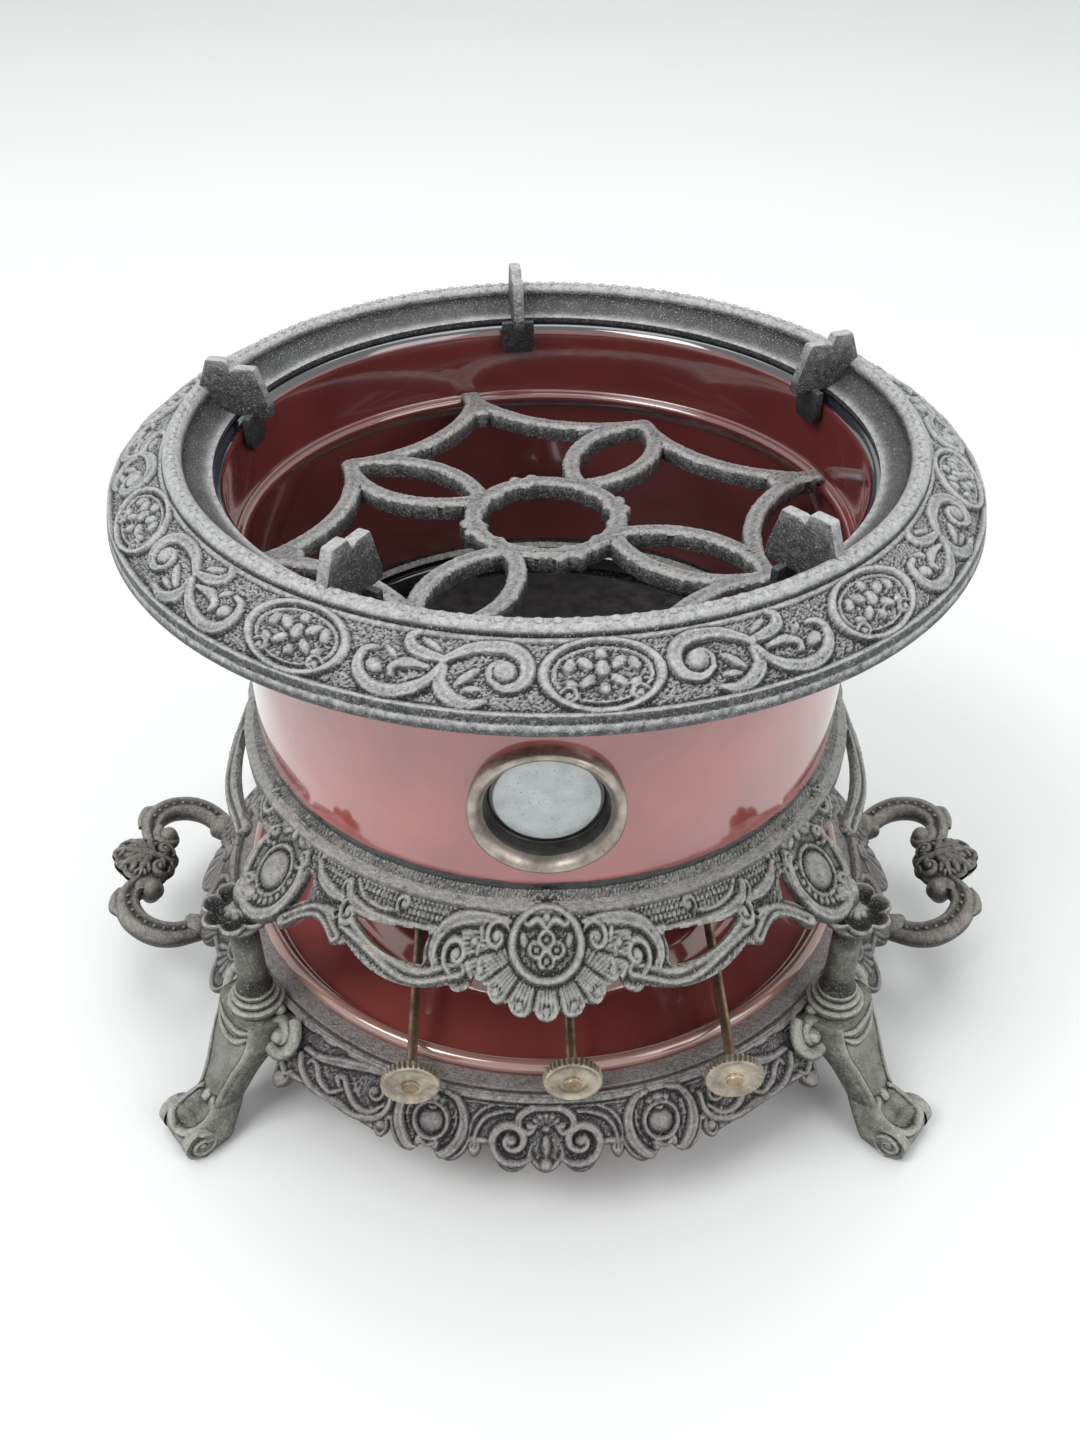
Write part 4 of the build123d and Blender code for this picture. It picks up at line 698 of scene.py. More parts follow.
def rounded_path(points, radii, steps=5, stride=6.0):
    """A polyline whose inner corners are rounded; long straight runs are divided."""
    p = [np.array(q, float) for q in points]
    path = [p[0]]
    for before, corner, after, radius in zip(p[:-2], p[1:-1], p[2:], radii):
        one = (before - corner) / np.linalg.norm(before - corner)
        two = (after - corner) / np.linalg.norm(after - corner)
        half = math.acos(np.clip(one @ two, -1, 1)) / 2
        back = radius / math.tan(half)
        centre = corner + (one + two) / np.linalg.norm(one + two) * radius / math.sin(half)
        for t in np.linspace(0, 1, steps):
            q = corner + one * back * (1 - t) + two * back * t
            path.append(centre + (q - centre) / np.linalg.norm(q - centre) * radius)
    path.append(p[-1])
    full = [path[0]]
    for q in path[1:]:
        pieces = max(1, int(np.linalg.norm(q - full[-1]) / stride))
        start = full[-1]
        full += [start + (q - start) * k / pieces for k in range(1, pieces + 1)]
    return np.array(full)


def turned_sheet(path, thickness, count):
    """A turned sheet of even thickness about a midline that has its outside on the right."""
    normal = path_normals(path) * thickness / 2
    profile = np.vstack([path + normal, (path - normal)[::-1]])
    return closed_revolve(profile, count)


def joined(parts):
    """Several (points, faces, relief) as one."""
    verts, faces, relief, start = [], [], [], 0
    for v, f, r in parts:
        verts.append(v)
        faces += [tuple(int(i) + start for i in face) for face in f]
        relief.append(np.zeros(len(v)) if r is None else r)
        start += len(v)
    return np.vstack(verts), faces, np.concatenate(relief)


def turned_about_z(points, degrees):
    c, s = math.cos(math.radians(degrees)), math.sin(math.radians(degrees))
    return points @ np.array([[c, s, 0], [-s, c, 0], [0, 0, 1]])


def crisp(obj, degrees):
    """Merges doubled points, turns the faces outwards and keeps edges over an angle sharp."""
    bm = bmesh.new()
    bm.from_mesh(obj.data)
    bmesh.ops.remove_doubles(bm, verts=bm.verts, dist=2e-6)
    bmesh.ops.dissolve_degenerate(bm, edges=bm.edges, dist=1e-7)
    bmesh.ops.recalc_face_normals(bm, faces=bm.faces)
    bm.to_mesh(obj.data)
    bm.free()
    obj.data.polygons.foreach_set("use_smooth", [True] * len(obj.data.polygons))
    obj.data.set_sharp_from_angle(angle=math.radians(degrees))


def plate_solid(outline, thickness, rounding):
    """A flat plate from an outline of (x, y), both sides of z = 0, its edges rounded."""
    bm = bmesh.new()
    face = bm.faces.new([bm.verts.new((x, y, -thickness / 2)) for x, y in outline])
    raised = bmesh.ops.extrude_face_region(bm, geom=[face])["geom"]
    top = [v for v in raised if isinstance(v, bmesh.types.BMVert)]
    bmesh.ops.translate(bm, vec=(0, 0, thickness), verts=top)
    bmesh.ops.recalc_face_normals(bm, faces=bm.faces)
    bmesh.ops.bevel(bm, geom=list(bm.edges), offset=rounding, segments=2, profile=0.5,
                    affect="EDGES", clamp_overlap=True)
    bm.verts.index_update()
    verts = np.array([v.co[:] for v in bm.verts])
    faces = [tuple(v.index for v in f.verts) for f in bm.faces]
    bm.free()
    return verts, faces


# Top ring

OVAL_GAP = 93.6  # along the band's drawing, from one oval to the next
BAND_WIDTH = 27.0
BAND_TURN = 60  # azimuth of the first oval
LUG_TURN = 24
LUG_COUNT = 5
OVAL_PETALS = ((0, 21.2, 1.9, 2.0, 0), (4.9, 18.2, 3.0, 1.9, 35), (9.4, 17.6, 2.6, 1.8, 110),
               (4.6, 12.6, 3.0, 1.7, -40), (0, 10.3, 1.6, 2.1, 0), (9.0, 12.0, 2.2, 1.3, 20))


def band_relief(u, v):
    """The band from the middle of one oval to the next: u along it, v in from its outer edge."""
    r = Relief(u, v)
    for middle, side in ((0.0, 1), (OVAL_GAP, -1)):
        r.rim((middle, 15), 17.0, 10.8, 0, 1.35, 1.7)
        r.rim((middle, 15), 14.2, 8.3, 0, 0.6, 0.7)
        r.dome((middle, 16.4), 2.3, 2.9, 0, 1.7)
        for along, up, long, wide, turn in OVAL_PETALS:
            r.dome((middle + side * along, up), long, wide, side * turn, 1.4)
        r.scroll((middle + side * 9.6, 8.6), 2.8, 90 - side * 70, side * 1.2, 0.9, 1.3, eye=0.9)
    r.stroke([(46.4, 17.4), (39.5, 21.8), (33.0, 23.2), (26.6, 22.8), (22.3, 19.6), (21.4, 15.2),
              (23.6, 11.6), (28.2, 10.4), (32.0, 12.6)], (1.3, 2.3, 2.6, 2.2, 1.0), 1.9,
             groove=0.35)
    r.dome((28.2, 15.6), 3.9, 3.6, 20, 2.2)
    r.stroke([(32.0, 12.6), (32.2, 16.2), (29.8, 18.3), (27.2, 18.0)], (1.1, 1.2, 0.7), 1.5)
    r.stroke([(45.6, 15.6), (46.2, 11.0), (43.2, 7.0), (38.0, 5.2), (33.0, 6.4)],
             (1.2, 2.6, 2.4, 1.0), 1.6, groove=0.3)
    r.dome((38.6, 13.2), 4.6, 1.6, -42, 1.5)
    r.dome((37.0, 9.6), 3.2, 1.3, -10, 1.3)
    r.stroke([(46.4, 18.0), (51.5, 18.6), (56.2, 20.2), (58.0, 23.6), (55.6, 25.8)],
             (1.3, 2.3, 2.1, 1.0), 1.7, groove=0.35)
    r.dome((50.5, 22.2), 3.6, 1.3, 28, 1.2)
    r.stroke([(46.6, 15.6), (49.4, 11.2), (54.4, 7.6), (61.2, 5.9), (67.6, 7.6), (71.0, 12.2),
              (70.4, 16.8), (67.0, 18.2)], (1.1, 2.2, 2.5, 2.0, 1.0), 1.9, groove=0.35)
    r.stroke([(50.4, 14.8), (55.8, 15.4), (60.4, 13.6), (60.6, 10.8)], (1.0, 2.0, 1.0), 1.5)
    r.dome((66.0, 12.6), 2.9, 2.3, 30, 1.9)
    r.dome((61.8, 17.6), 2.6, 1.1, 40, 1.1)
    slope = np.clip(v / 3.1, 0, 1) * np.clip((4.3 - v) / 0.9, 0, 1)
    r.raise_to(2.1 * slope)
    r.raise_to(0.9 * rounded((v - 26.2) / 0.9))
    return r.h


def build_ring_band(sizes):
    """The carved band, one drawing repeated and mirrored round the ring, uneven as cast."""
    count = 1440
    tile = count // LUG_COUNT
    arc = arc_through((160, 250), (149.8, 259.9), (138, 265.4), 60)
    reach = path_reach(arc)
    across = np.arange(tile // 2 + 1) * (2 * OVAL_GAP) / tile
    half = band_relief(*np.meshgrid(across, reach * BAND_WIDTH / reach[-1], indexing="ij"))
    step = (np.arange(count) - round(BAND_TURN / 360 * count)) % tile
    heights = half[np.minimum(step, tile - step)].T
    rng = np.random.default_rng(7)
    turn = full_turn(count)
    swell = sum(rng.uniform(0.05, 0.1) * np.sin(n * turn + rng.uniform(0, 6))
                for n in (3, 5, 8, 13, 21, 34))
    sand = rng.normal(0, 1, heights.shape) * (0.07 + 0.15 * np.clip(1 - heights / 0.9, 0, 1))
    lift = heights * (1 + 0.5 * swell) + np.clip(sand, -0.4, 0.5) - sizes.band_ground / MM
    lift[0] = -0.5
    lift[-1] = -0.2
    head = np.array([(138.2, 263.2), (149.2, 257.6), (157.5, 248.6), (158.8, 246.1),
                     (159.7, 246.3), (160, 247.0)])
    displace = np.vstack([np.zeros((len(head), count)), lift])
    verts, faces, _ = closed_revolve(np.vstack([head, arc]), count, displace)
    relief = np.concatenate([np.full(len(head) * count, -0.2), (heights - 0.1).reshape(-1)])
    make_piece("top_ring_band", (verts, faces, relief), finishes().ring_iron, "top_ring",
               ("top_ring",))


def build_ring_core():
    """The ridge with its beads, the cove and the underside."""
    iron = finishes().ring_iron
    ridge = arc_through((138, 265.4), (134.4, 269), (130.8, 265.4), 13)
    cove = arc_through((130.8, 265.4), (126.35, 260.5), (121.5, 258.4), 10)[1:]
    rest = [(121.5, 256.6), (122.0, 256.0), (128, 256), (128.0, 260.9), (137, 260.9),
            (155.0, 246.4), (158.4, 246.2), (157.0, 248.6), (149.0, 257.6), (138.6, 263.3)]
    verts, faces, _ = closed_revolve(np.vstack([ridge, cove, rest]), 480)
    relief = np.where(verts[:, 2] > 266.5, 1.4, 0.3)
    make_piece("top_ring_core", (verts, faces, relief), iron, "top_ring", sharp=40)


def build_lugs():
    """The lugs that carry a pot, and under each the tongue that keeps the ring in place."""
    outline = [(136.4, 262.4), (135.4, 267.5), (130.6, 279.9), (122.7, 279.9), (121.2, 276.3),
               (118.8, 277.3), (111.6, 277.3), (107.0, 262.6), (106.8, 258.0), (122.5, 258.0),
               (127.5, 259.2)]
    tongue = [(-7, 248.4), (-5.6, 245.5), (5.6, 245.5), (7, 248.4), (7, 259.2), (-7, 259.2)]
    lugs, tongues = [], []
    for number in range(LUG_COUNT):
        azimuth = LUG_TURN + 360 // LUG_COUNT * number
        flat, faces = plate_solid(outline, 4.7, 0.8)
        upright = np.stack([flat[:, 0], flat[:, 2], flat[:, 1]], 1)
        relief = np.clip((upright[:, 2] - 272) / 5, -0.3, 1.7)
        lugs.append((turned_about_z(upright, azimuth), faces, relief))
        flat, faces = plate_solid(tongue, 3.1, 0.6)
        upright = np.stack([flat[:, 2] + 115.4, flat[:, 0], flat[:, 1]], 1)
        tongues.append((turned_about_z(upright, azimuth), faces, None))
    made = finishes()
    make_piece("top_ring_lugs", joined(lugs), made.ring_iron, "top_ring", sharp=35)
    # The tongues take the near-black iron as painted shade.
    make_piece("top_ring_tongues", joined(tongues), made.tongue_shade_iron, "top_ring",
               sharp=35)


def build_ring_beads(sizes):
    """Beads and thin reels by turns on the ridge."""
    form = ring_tree(finishes().ring_iron)
    obj = grown("top_ring_beads", form, {
        "Count": sizes.bead_count, "Radius": 134.4 * MM, "Height": 268.3 * MM,
        "Size": sizes.bead_radius, "Start": math.radians(LUG_TURN)})
    dress(obj, finishes().ring_iron, "top_ring")


# Repeats: geometry node trees

class FormTree(NodeTree):
    """Builds a geometry node tree whose sizes are named inputs."""

    def __init__(self, name):
        super().__init__(bpy.data.node_groups.new(name, "GeometryNodeTree"))
        for way in ("INPUT", "OUTPUT"):
            self.tree.interface.new_socket("Geometry", in_out=way,
                                           socket_type="NodeSocketGeometry")
        self.start = self.node("NodeGroupInput")
        self.places = {}

    def size(self, name, default, kind="Float"):
        made = self.tree.interface.new_socket(name, in_out="INPUT",
                                              socket_type="NodeSocket" + kind)
        made.default_value = default
        self.places[name] = made.identifier
        return self.start.outputs[name]

    def close(self, geometry, material):
        """Realizes the instances, sets the material and ends the tree."""
        real = self.put("GeometryNodeRealizeInstances", {0: geometry})
        smooth = self.put("GeometryNodeSetShadeSmooth", {0: real})
        dressed = self.node("GeometryNodeSetMaterial", {0: smooth, "Material": material})
        self.node("NodeGroupOutput", {0: dressed.outputs[0]})
        return self


def grown(name, form, values, start=None):
    """The plain mesh that a tree makes with these values, as an object at the origin."""
    obj = placed(name, start or bpy.data.meshes.new(name + "_start"))
    modifier = obj.modifiers.new(form.tree.name, "NODES")
    modifier.node_group = form.tree
    for key, value in values.items():
        modifier[form.places[key]] = value
    graph = bpy.context.evaluated_depsgraph_get()
    graph.update()
    mesh = bpy.data.meshes.new_from_object(obj.evaluated_get(graph), depsgraph=graph)
    obj.modifiers.remove(modifier)
    obj.data = mesh
    mesh.name = name
    keep_values(mesh, "relief", np.full(len(mesh.vertices), GROWN_RELIEF))
    return obj


def ring_tree(material):
    """Beads and thin reels by turns on a ring: Count, Radius, Height, Size and Start."""
    form = FormTree("beads_on_a_ring")
    count = form.size("Count", 150, "Int")
    radius = form.size("Radius", 0.1344)
    height = form.size("Height", 0.2683)
    size = form.size("Size", 0.0017)
    start = form.size("Start", 0.0)
    points = form.put("GeometryNodePoints", {"Count": count})
    index = form.put("GeometryNodeInputIndex")
    part = form.sum("DIVIDE", form.sum("MULTIPLY", index, 2 * math.pi), count)
    turn = form.sum("ADD", part, start)
    x = form.sum("MULTIPLY", form.sum("COSINE", turn), radius)
    y = form.sum("MULTIPLY", form.sum("SINE", turn), radius)
    place = form.put("ShaderNodeCombineXYZ", {0: x, 1: y, 2: height})
    points = form.put("GeometryNodeSetPosition", {"Geometry": points, "Position": place})
    heading = form.put("ShaderNodeCombineXYZ", {2: turn})
    bead = form.put("GeometryNodeMeshUVSphere", {"Segments": 10, "Rings": 6, "Radius": 1.0})
    pair = form.node("GeometryNodeJoinGeometry")
    for shape in ({"Scale": (0.95, 1.3, 0.85)},
                  {"Scale": (0.8, 0.34, 0.7), "Translation": (0, 1.72, 0)}):
        turned = form.put("GeometryNodeTransform", {"Geometry": bead, **shape})
        form.tree.links.new(turned, pair.inputs[0])
    row = form.put("GeometryNodeInstanceOnPoints", {
        "Points": points, "Instance": pair.outputs[0], "Rotation": heading, "Scale": size})
    return form.close(row, material)


# Grate

GRATE_TURN = 62
GRATE_TOP = 228.3


def polar(radius, degrees):
    """Point of the plan at an azimuth."""
    turn = math.radians(degrees)
    return np.array([radius * math.cos(turn), radius * math.sin(turn)])


def grate_depth(x, y):
    """How far a point of the plan lies inside the grate's bars."""
    r = np.hypot(x, y)
    off = np.radians(np.abs((np.degrees(np.arctan2(y, x)) - GRATE_TURN + 45) % 90 - 45))
    u, v = r * np.cos(off), r * np.sin(off)
    middle = 60.0
    loop = arc_through(polar(29, 0), polar(middle, math.degrees(15 / middle)), polar(91, 0), 26)
    star = arc_through(polar(91, 0), polar(79, 22.5), polar(108.6, 45), 26)
    tip = np.array([polar(97, 45), polar(116.6, 45)])
    bars = np.minimum(distance_to(u, v, loop), distance_to(u, v, star)) - 3.5
    bars = np.minimum(bars, np.abs(r - 28) - 3.5)
    bars = np.minimum(bars, np.maximum(22.9 + 2.3 * np.abs(np.cos(6 * off)) - r, r - 29))
    cusp = polar(31.0, 38.6)
    bars = np.minimum(bars, np.hypot(u - cusp[0], v - cusp[1]) - 2.7)
    end = np.maximum(distance_to(u, v, tip) - 4.0, r - 116.6)
    return -np.minimum(bars, end)


def build_grate():
    span = np.arange(-118, 118.1, 0.85)
    x, y = np.meshgrid(span, span, indexing="ij")
    rng = np.random.default_rng(3)
    rough = sampled(x, y, rng.normal(0, 1, x.shape))

    def height(px, py):
        inside = np.clip(grate_depth(px, py) / 1.7, 0, 1)
        wave = 0.12 * np.sin(px / 9) * np.cos(py / 11)
        return -1.25 * (1 - inside) ** 2 + 0.09 * rough(px, py) + wave

    def place(px, py, lift):
        under = np.where(np.hypot(px, py) > 112.0, 225.6, 221.6)
        return np.stack([px, py, np.where(lift < -3, under, GRATE_TOP + lift)], 1)

    edge = 0.32 * np.sin(x * 1.3 + 2 * np.sin(y * 0.7)) * np.sin(y * 1.1 + 1.7 * np.sin(x * 0.6))
    made = cast_panel(x, y, grate_depth(x, y) + edge, height, place, 9)
    relief = np.where(made[0][:, 2] > 226.5, np.clip(made[0][:, 2] - 227.0, -0.5, 2) * 1.3, -0.4)
    make_piece("grate_casting", (made[0], made[1], relief), finishes().grate_iron, "grate",
               ("grate",), sharp=55)


# Drum and window

WINDOW_PLACE = (0, 183.5)  # aside and up
DRUM_REACH = 119.4  # over the window's skirt, where the bezel saddles the wall


def build_drum(sizes):
    """The thin enamelled wall with the window's hole, out of true by a fraction."""
    middle = rounded_path(
        [(112, 136.9), (112, 143.0), (118.8, 143.0), (118.8, 217.5), (113.6, 224.9),
         (118.8, 224.9), (118.8, 255.4), (127, 255.4)],
        (1.5, 2.5, 3, 1.5, 1.5, 4), steps=6, stride=4.5)
    normal = path_normals(middle)
    reach = path_reach(middle)
    count = 480
    turn = np.arange(count) * 360.0 / count - 180.0
    u, v = np.meshgrid(turn, reach, indexing="ij")
    dent = sizes.dent_depth / MM

    def on_wall(s):
        return np.interp(s, reach, middle[:, 0]), np.interp(s, reach, middle[:, 1])

    def field(az, s):
        r, z = on_wall(s)
        x = r * np.cos(np.radians(az))
        front = np.sin(np.radians(az)) < 0
        return np.where(front, np.hypot(x, z - WINDOW_PLACE[1]) - 22.2, 50.0)

    def place(az, s, lift):
        r, z = on_wall(s)
        nr, nz = np.interp(s, reach, normal[:, 0]), np.interp(s, reach, normal[:, 1])
        away = np.where(lift < -1.0, -0.6, 0.6 + lift)
        a = np.radians(az)
        out = r + nr * away
        return np.stack([out * np.cos(a), out * np.sin(a), z + nz * away], 1)

    def height(az, s):
        a = np.radians(az)
        wave = np.sin(5 * a + s / 23) + 0.7 * np.sin(9 * a - s / 17 + 1.1)
        wave = wave + 0.5 * np.sin(14 * a + s / 9)
        return dent * wave * (np.clip((s - 20) / 12, 0, 1) * np.clip((86 - s) / 10, 0, 1))

    verts, faces, lift = cast_panel(u, v, field(u, v), height, place, 1.2, wrap=True)
    # The inside of the wall gets a relief value of one, so its enamel is painted darker as shade.
    make_piece("drum_wall", (verts, faces, lift < -0.9), finishes().red, "drum",
               ("drum_shell",), sharp=60)


def facing_front(points, centre, turned=0.0):
    """Stands a shape turned round Z up to face the front, its axis through (x, z)."""
    stood = np.stack([points[:, 0] + centre[0], -points[:, 2], points[:, 1] + centre[1]], 1)
    return turned_about_z(stood, turned)


def build_window():
    """The dished bezel saddles the drum, the pane sits in it, and the bore is painted near-black
    as shade.
    """
    made = finishes()
    profile = [(20.3, 111.9), (21.8, 111.9), (21.9, 117.0), (26.4, 117.0), (27.0, 118.5),
               (27.15, 121.5), (26.7, 123.3), (25.7, 124.2), (24.6, 124.1), (23.4, 123.1),
               (22.4, 121.6), (21.6, 119.6), (21.0, 117.4), (20.5, 115.6), (20.3, 114.9)]
    count = 160
    verts, faces, _ = closed_revolve(profile, count)
    row = np.repeat(np.arange(len(profile)), count)
    saddle = np.sqrt(DRUM_REACH**2 - verts[:, 0] ** 2) - 0.3
    skirt = np.isin(row, (2, 3))
    verts[skirt, 2] = saddle[skirt] - (row[skirt] == 2)
    rise = np.clip((verts[:, 2] - 119) / 5, 0, 1)
    keep = np.isin(row, (4, 5))
    verts[keep, 2] = np.maximum(verts[keep, 2], saddle[keep] + 0.4)
    pieces = [("rim", verts, faces, rise, made.bezel_brass, "aged_brass", ("window_bezel",))]
    pane = rounded_path([(0, 113.7), (20.8, 113.7), (20.8, 114.5), (19.0, 114.6), (10, 114.75),
                         (0, 114.8)], [0.2] * 4, steps=2, stride=1.5)
    verts, faces, _ = closed_revolve(pane, 96)
    # Painted shadow: the pane beyond radius 18.1 is marked for the dark ring under the bezel.
    dark = np.hypot(verts[:, 0], verts[:, 1]) > 18.1
    pieces.append(("pane", verts, faces, dark, made.mica, "window_mica", ("window_glass",)))
    bore = [(20.8, 114.9), (20.2, 114.9), (20.4, 115.6), (20.9, 117.4), (21.5, 119.6),
            (22.0, 120.0), (21.2, 117.2)]
    verts, faces, _ = closed_revolve(bore, 96)
    # The bore ring takes the near-black finish as painted shade.
    pieces.append(("bore_shade", verts, faces, None, made.bore_shade, "aged_brass", ()))
    for name, verts, faces, relief, finish, slot, solids in pieces:
        stood = facing_front(verts, WINDOW_PLACE)
        make_piece("window_" + name, (stood, faces, relief), finish, "drum", solids,
                   sharp=50)


# Upper frame

def plan(radius, degrees):
    """Point of the plan with the front axis along +Y, degrees counted from the front."""
    turn = math.radians(degrees)
    return np.array([radius * math.sin(turn), radius * math.cos(turn)])


def seen_from(u, v, radius, degrees):
    """Drawing coordinates round a point of the plan: x sideways, y outwards."""
    cx, cy = plan(radius, degrees)
    c, s = math.cos(math.radians(degrees)), math.sin(math.radians(degrees))
    return (u - cx) * c - (v - cy) * s, (u - cx) * s + (v - cy) * c


def dots(u, v, spots):
    """Distance to the nearest of some discs of the plan, given by radius, degrees and size."""
    best = np.full(u.shape, FAR)
    for radius, degrees, size in spots:
        centre = plan(radius, degrees)
        best = np.minimum(best, np.hypot(u - centre[0], v - centre[1]) - size)
    return best


def build_cone_half(name, half, drawing, cone, thickness, iron, solid):
    """Half of a pierced casting on a cone, drawn on one side of its middle and mirrored.

    drawing holds the degrees and radii of its grid with the depth and height on each, and cone
    the radius and height that it starts from and its slope.
    """
    degrees, radii, depth, carved, ground = drawing
    first, top, slope = cone
    side = -1 if half == "front" else 1
    steep = math.hypot(slope, 1)
    wide = np.concatenate([-degrees[:0:-1], degrees])
    b, r = np.meshgrid(wide, radii, indexing="ij")
    read = sampled(b, r, np.vstack([carved[:0:-1], carved]))

    def place(az, radius, lift):
        z = top - (radius - first) * slope + lift / steep
        reach = radius + lift * slope / steep
        a = np.radians(az)
        return np.stack([reach * np.sin(a), side * reach * np.cos(a), z], 1)

    verts, faces, relief = cast_panel(b, r, np.vstack([depth[:0:-1], depth]), read, place,
                                      thickness, flip=side < 0)
    make_piece(f"{name}_{half}", (verts, faces, relief + ground), iron, "stand",
               (solid,) if half == "front" else (), sharp=65)


APRON_CONE = (118, 145.8, 28.0 / 29.0)  # radius and height at its top, and its slope
CARTOUCHE = (137.5, 48)
SHELL_WIDE, SHELL_TALL, SHELL_PLACE = 22.5, 16, 131
LOBE_STEP = 22.5
DOT_STEP = 1.75
FRONT_STRAP = [(30.5, 137.6), (50, 136.0), (73, 117)]
ARCH = [plan(142.6, 32.6), plan(138.8, 37), plan(146.4, 42)]
SIDE_STRAP = [plan(137, 60), plan(134, 72), plan(124, 89)]


def apron_depth(u, v):
    """How far a point of the plan lies inside the apron, which is symmetric about the front."""
    u = np.abs(u)
    r = np.hypot(u, v)
    b = np.degrees(np.arctan2(u, v))
    edge = np.interp(b, [12, 20, 34, 42], [131.5, 133.2, 136.2, 131.5])
    solid = np.minimum(r - 126, np.maximum(r - edge, (b - 62) * 2.2))
    strut = distance_to(u, v, np.array([(38.6, 127), (41, 131), (41.6, 136)])) - 2.5
    solid = np.minimum(solid, np.minimum(strut, np.hypot(u - 31, v - 132.6) - 8.2))
    for path, half in ((FRONT_STRAP, 2.9), (ARCH, 2.4), (SIDE_STRAP, 2.7)):
        solid = np.minimum(solid, distance_to(u, v, arc_through(*path, 18)) - half)
    solid = np.minimum(solid, dots(u, v, (
        (141.5, 12.5, 5.0), (139.6, 31.9, 4.6), (132, 36.9, 8.0), (*CARTOUCHE, 15.0))))
    q = np.hypot(u / SHELL_WIDE, (v - SHELL_PLACE) / SHELL_TALL)
    solid = np.minimum(solid, (q - 1) * SHELL_TALL)
    for lobe in range(5):
        a = math.radians(LOBE_STEP * lobe)
        x, y = SHELL_WIDE * math.cos(a), SHELL_TALL * math.sin(a)
        solid = np.minimum(solid, np.hypot(u - x, v - SHELL_PLACE - y) - 5)
    return -solid


def apron_relief(u, v):
    """Heights over the apron: pendant, scrolls, grooved straps, stipple and cartouches."""
    u = np.abs(u)
    r = Relief(u, v)
    reach, b = np.hypot(u, v), np.degrees(np.arctan2(u, v))
    row = (reach - 118) / DOT_STEP
    along = b * reach / 57.3 / DOT_STEP + 0.5 * (np.floor(row) % 2)
    spot = np.hypot(along % 1 - 0.5, row % 1 - 0.5)
    pocket = (reach > 125.6) & (reach < 134) & (b < 44)
    r.raise_to(np.where(pocket, 0.75 * rounded(spot / 0.42), 0))
    r.stroke(FRONT_STRAP, (2.6,), 2.0, groove=0.9)
    r.stroke(SIDE_STRAP, (2.5,), 1.6, groove=0.8)
    r.stroke(ARCH, (2.2,), 1.7, groove=0.8)
    r.stroke([plan(124.4, d) for d in range(0, 62, 10)], (0.8,), 1.3)
    r.scroll((31.6, 133.4), 5.2, 60, -1.25, 1.5, 2.2, eye=1.9)
    r.stroke([(13.0, 126.8), (20.0, 125.4), (28.0, 124.6), (34.5, 125.6), (38.6, 128.6),
              (40.2, 132.2), (39.0, 136.0)], (1.0, 1.9, 2.4, 2.0, 1.4), 2.1, groove=0.5)
    r.scroll((17.4, 130.4), 4.6, 200, 1.3, 1.35, 2.1, eye=1.8)
    for at, wide, turn in (((22.4, 129.0), 3.0, 100), ((23.8, 132.6), 3.0, 75),
                           ((23.4, 136.4), 2.8, 60), ((27.6, 128.6), 2.4, 15)):
        r.dome(at, wide, 1.25, turn, 1.9)
    r.stroke([(38.0, 126.4), (46.0, 125.4), (56.0, 122.0), (65.0, 116.6), (70.4, 111.0),
              (70.6, 106.2)], (1.2, 2.3, 2.4, 2.1, 1.1), 2.0, groove=0.5)
    r.scroll((50.4, 117.6), 2.9, 40, -1.15, 0.95, 1.6, eye=1.2)
    r.stroke([(53.5, 118.6), (60.0, 116.4), (65.6, 111.8), (67.6, 106.8)], (0.6, 1.0, 0.7), 1.2)
    r.stroke([(72.4, 111.4), (78.0, 107.0), (82.0, 101.6), (82.6, 96.6)], (1.0, 2.0, 1.9, 0.9),
             1.9, groove=0.4)
    r.scroll((71.4, 107.8), 2.6, 60, -1.1, 0.9, 1.6, eye=1.1)
    r.scroll((81.2, 95.4), 2.6, 40, -1.1, 0.9, 1.6, eye=1.1)
    r.scroll((71.2, 115.2), 3.7, 300, 1.1, 1.35, 2.1, eye=1.5)
    r.dome((78.6, 112.6), 4.4, 1.5, -38, 1.5)
    r.dome(plan(146.4, 42), 2.0, 2.0, 0, 1.7)
    r.scroll(plan(124.6, 57.5), 4.3, 240, 1.3, 1.1, 1.4, eye=1.4)
    r.leaf([plan(122.2, 60.5), plan(126.5, 60.0), plan(130.0, 57.5)], 3.4, 1.1, 4)
    r.leaf([plan(133.5, 62.5), plan(132.6, 67), plan(129.5, 74)], 3.0, 1.2, 4)
    shell_relief(r, u, v)
    return cartouche_relief(r, u, v)


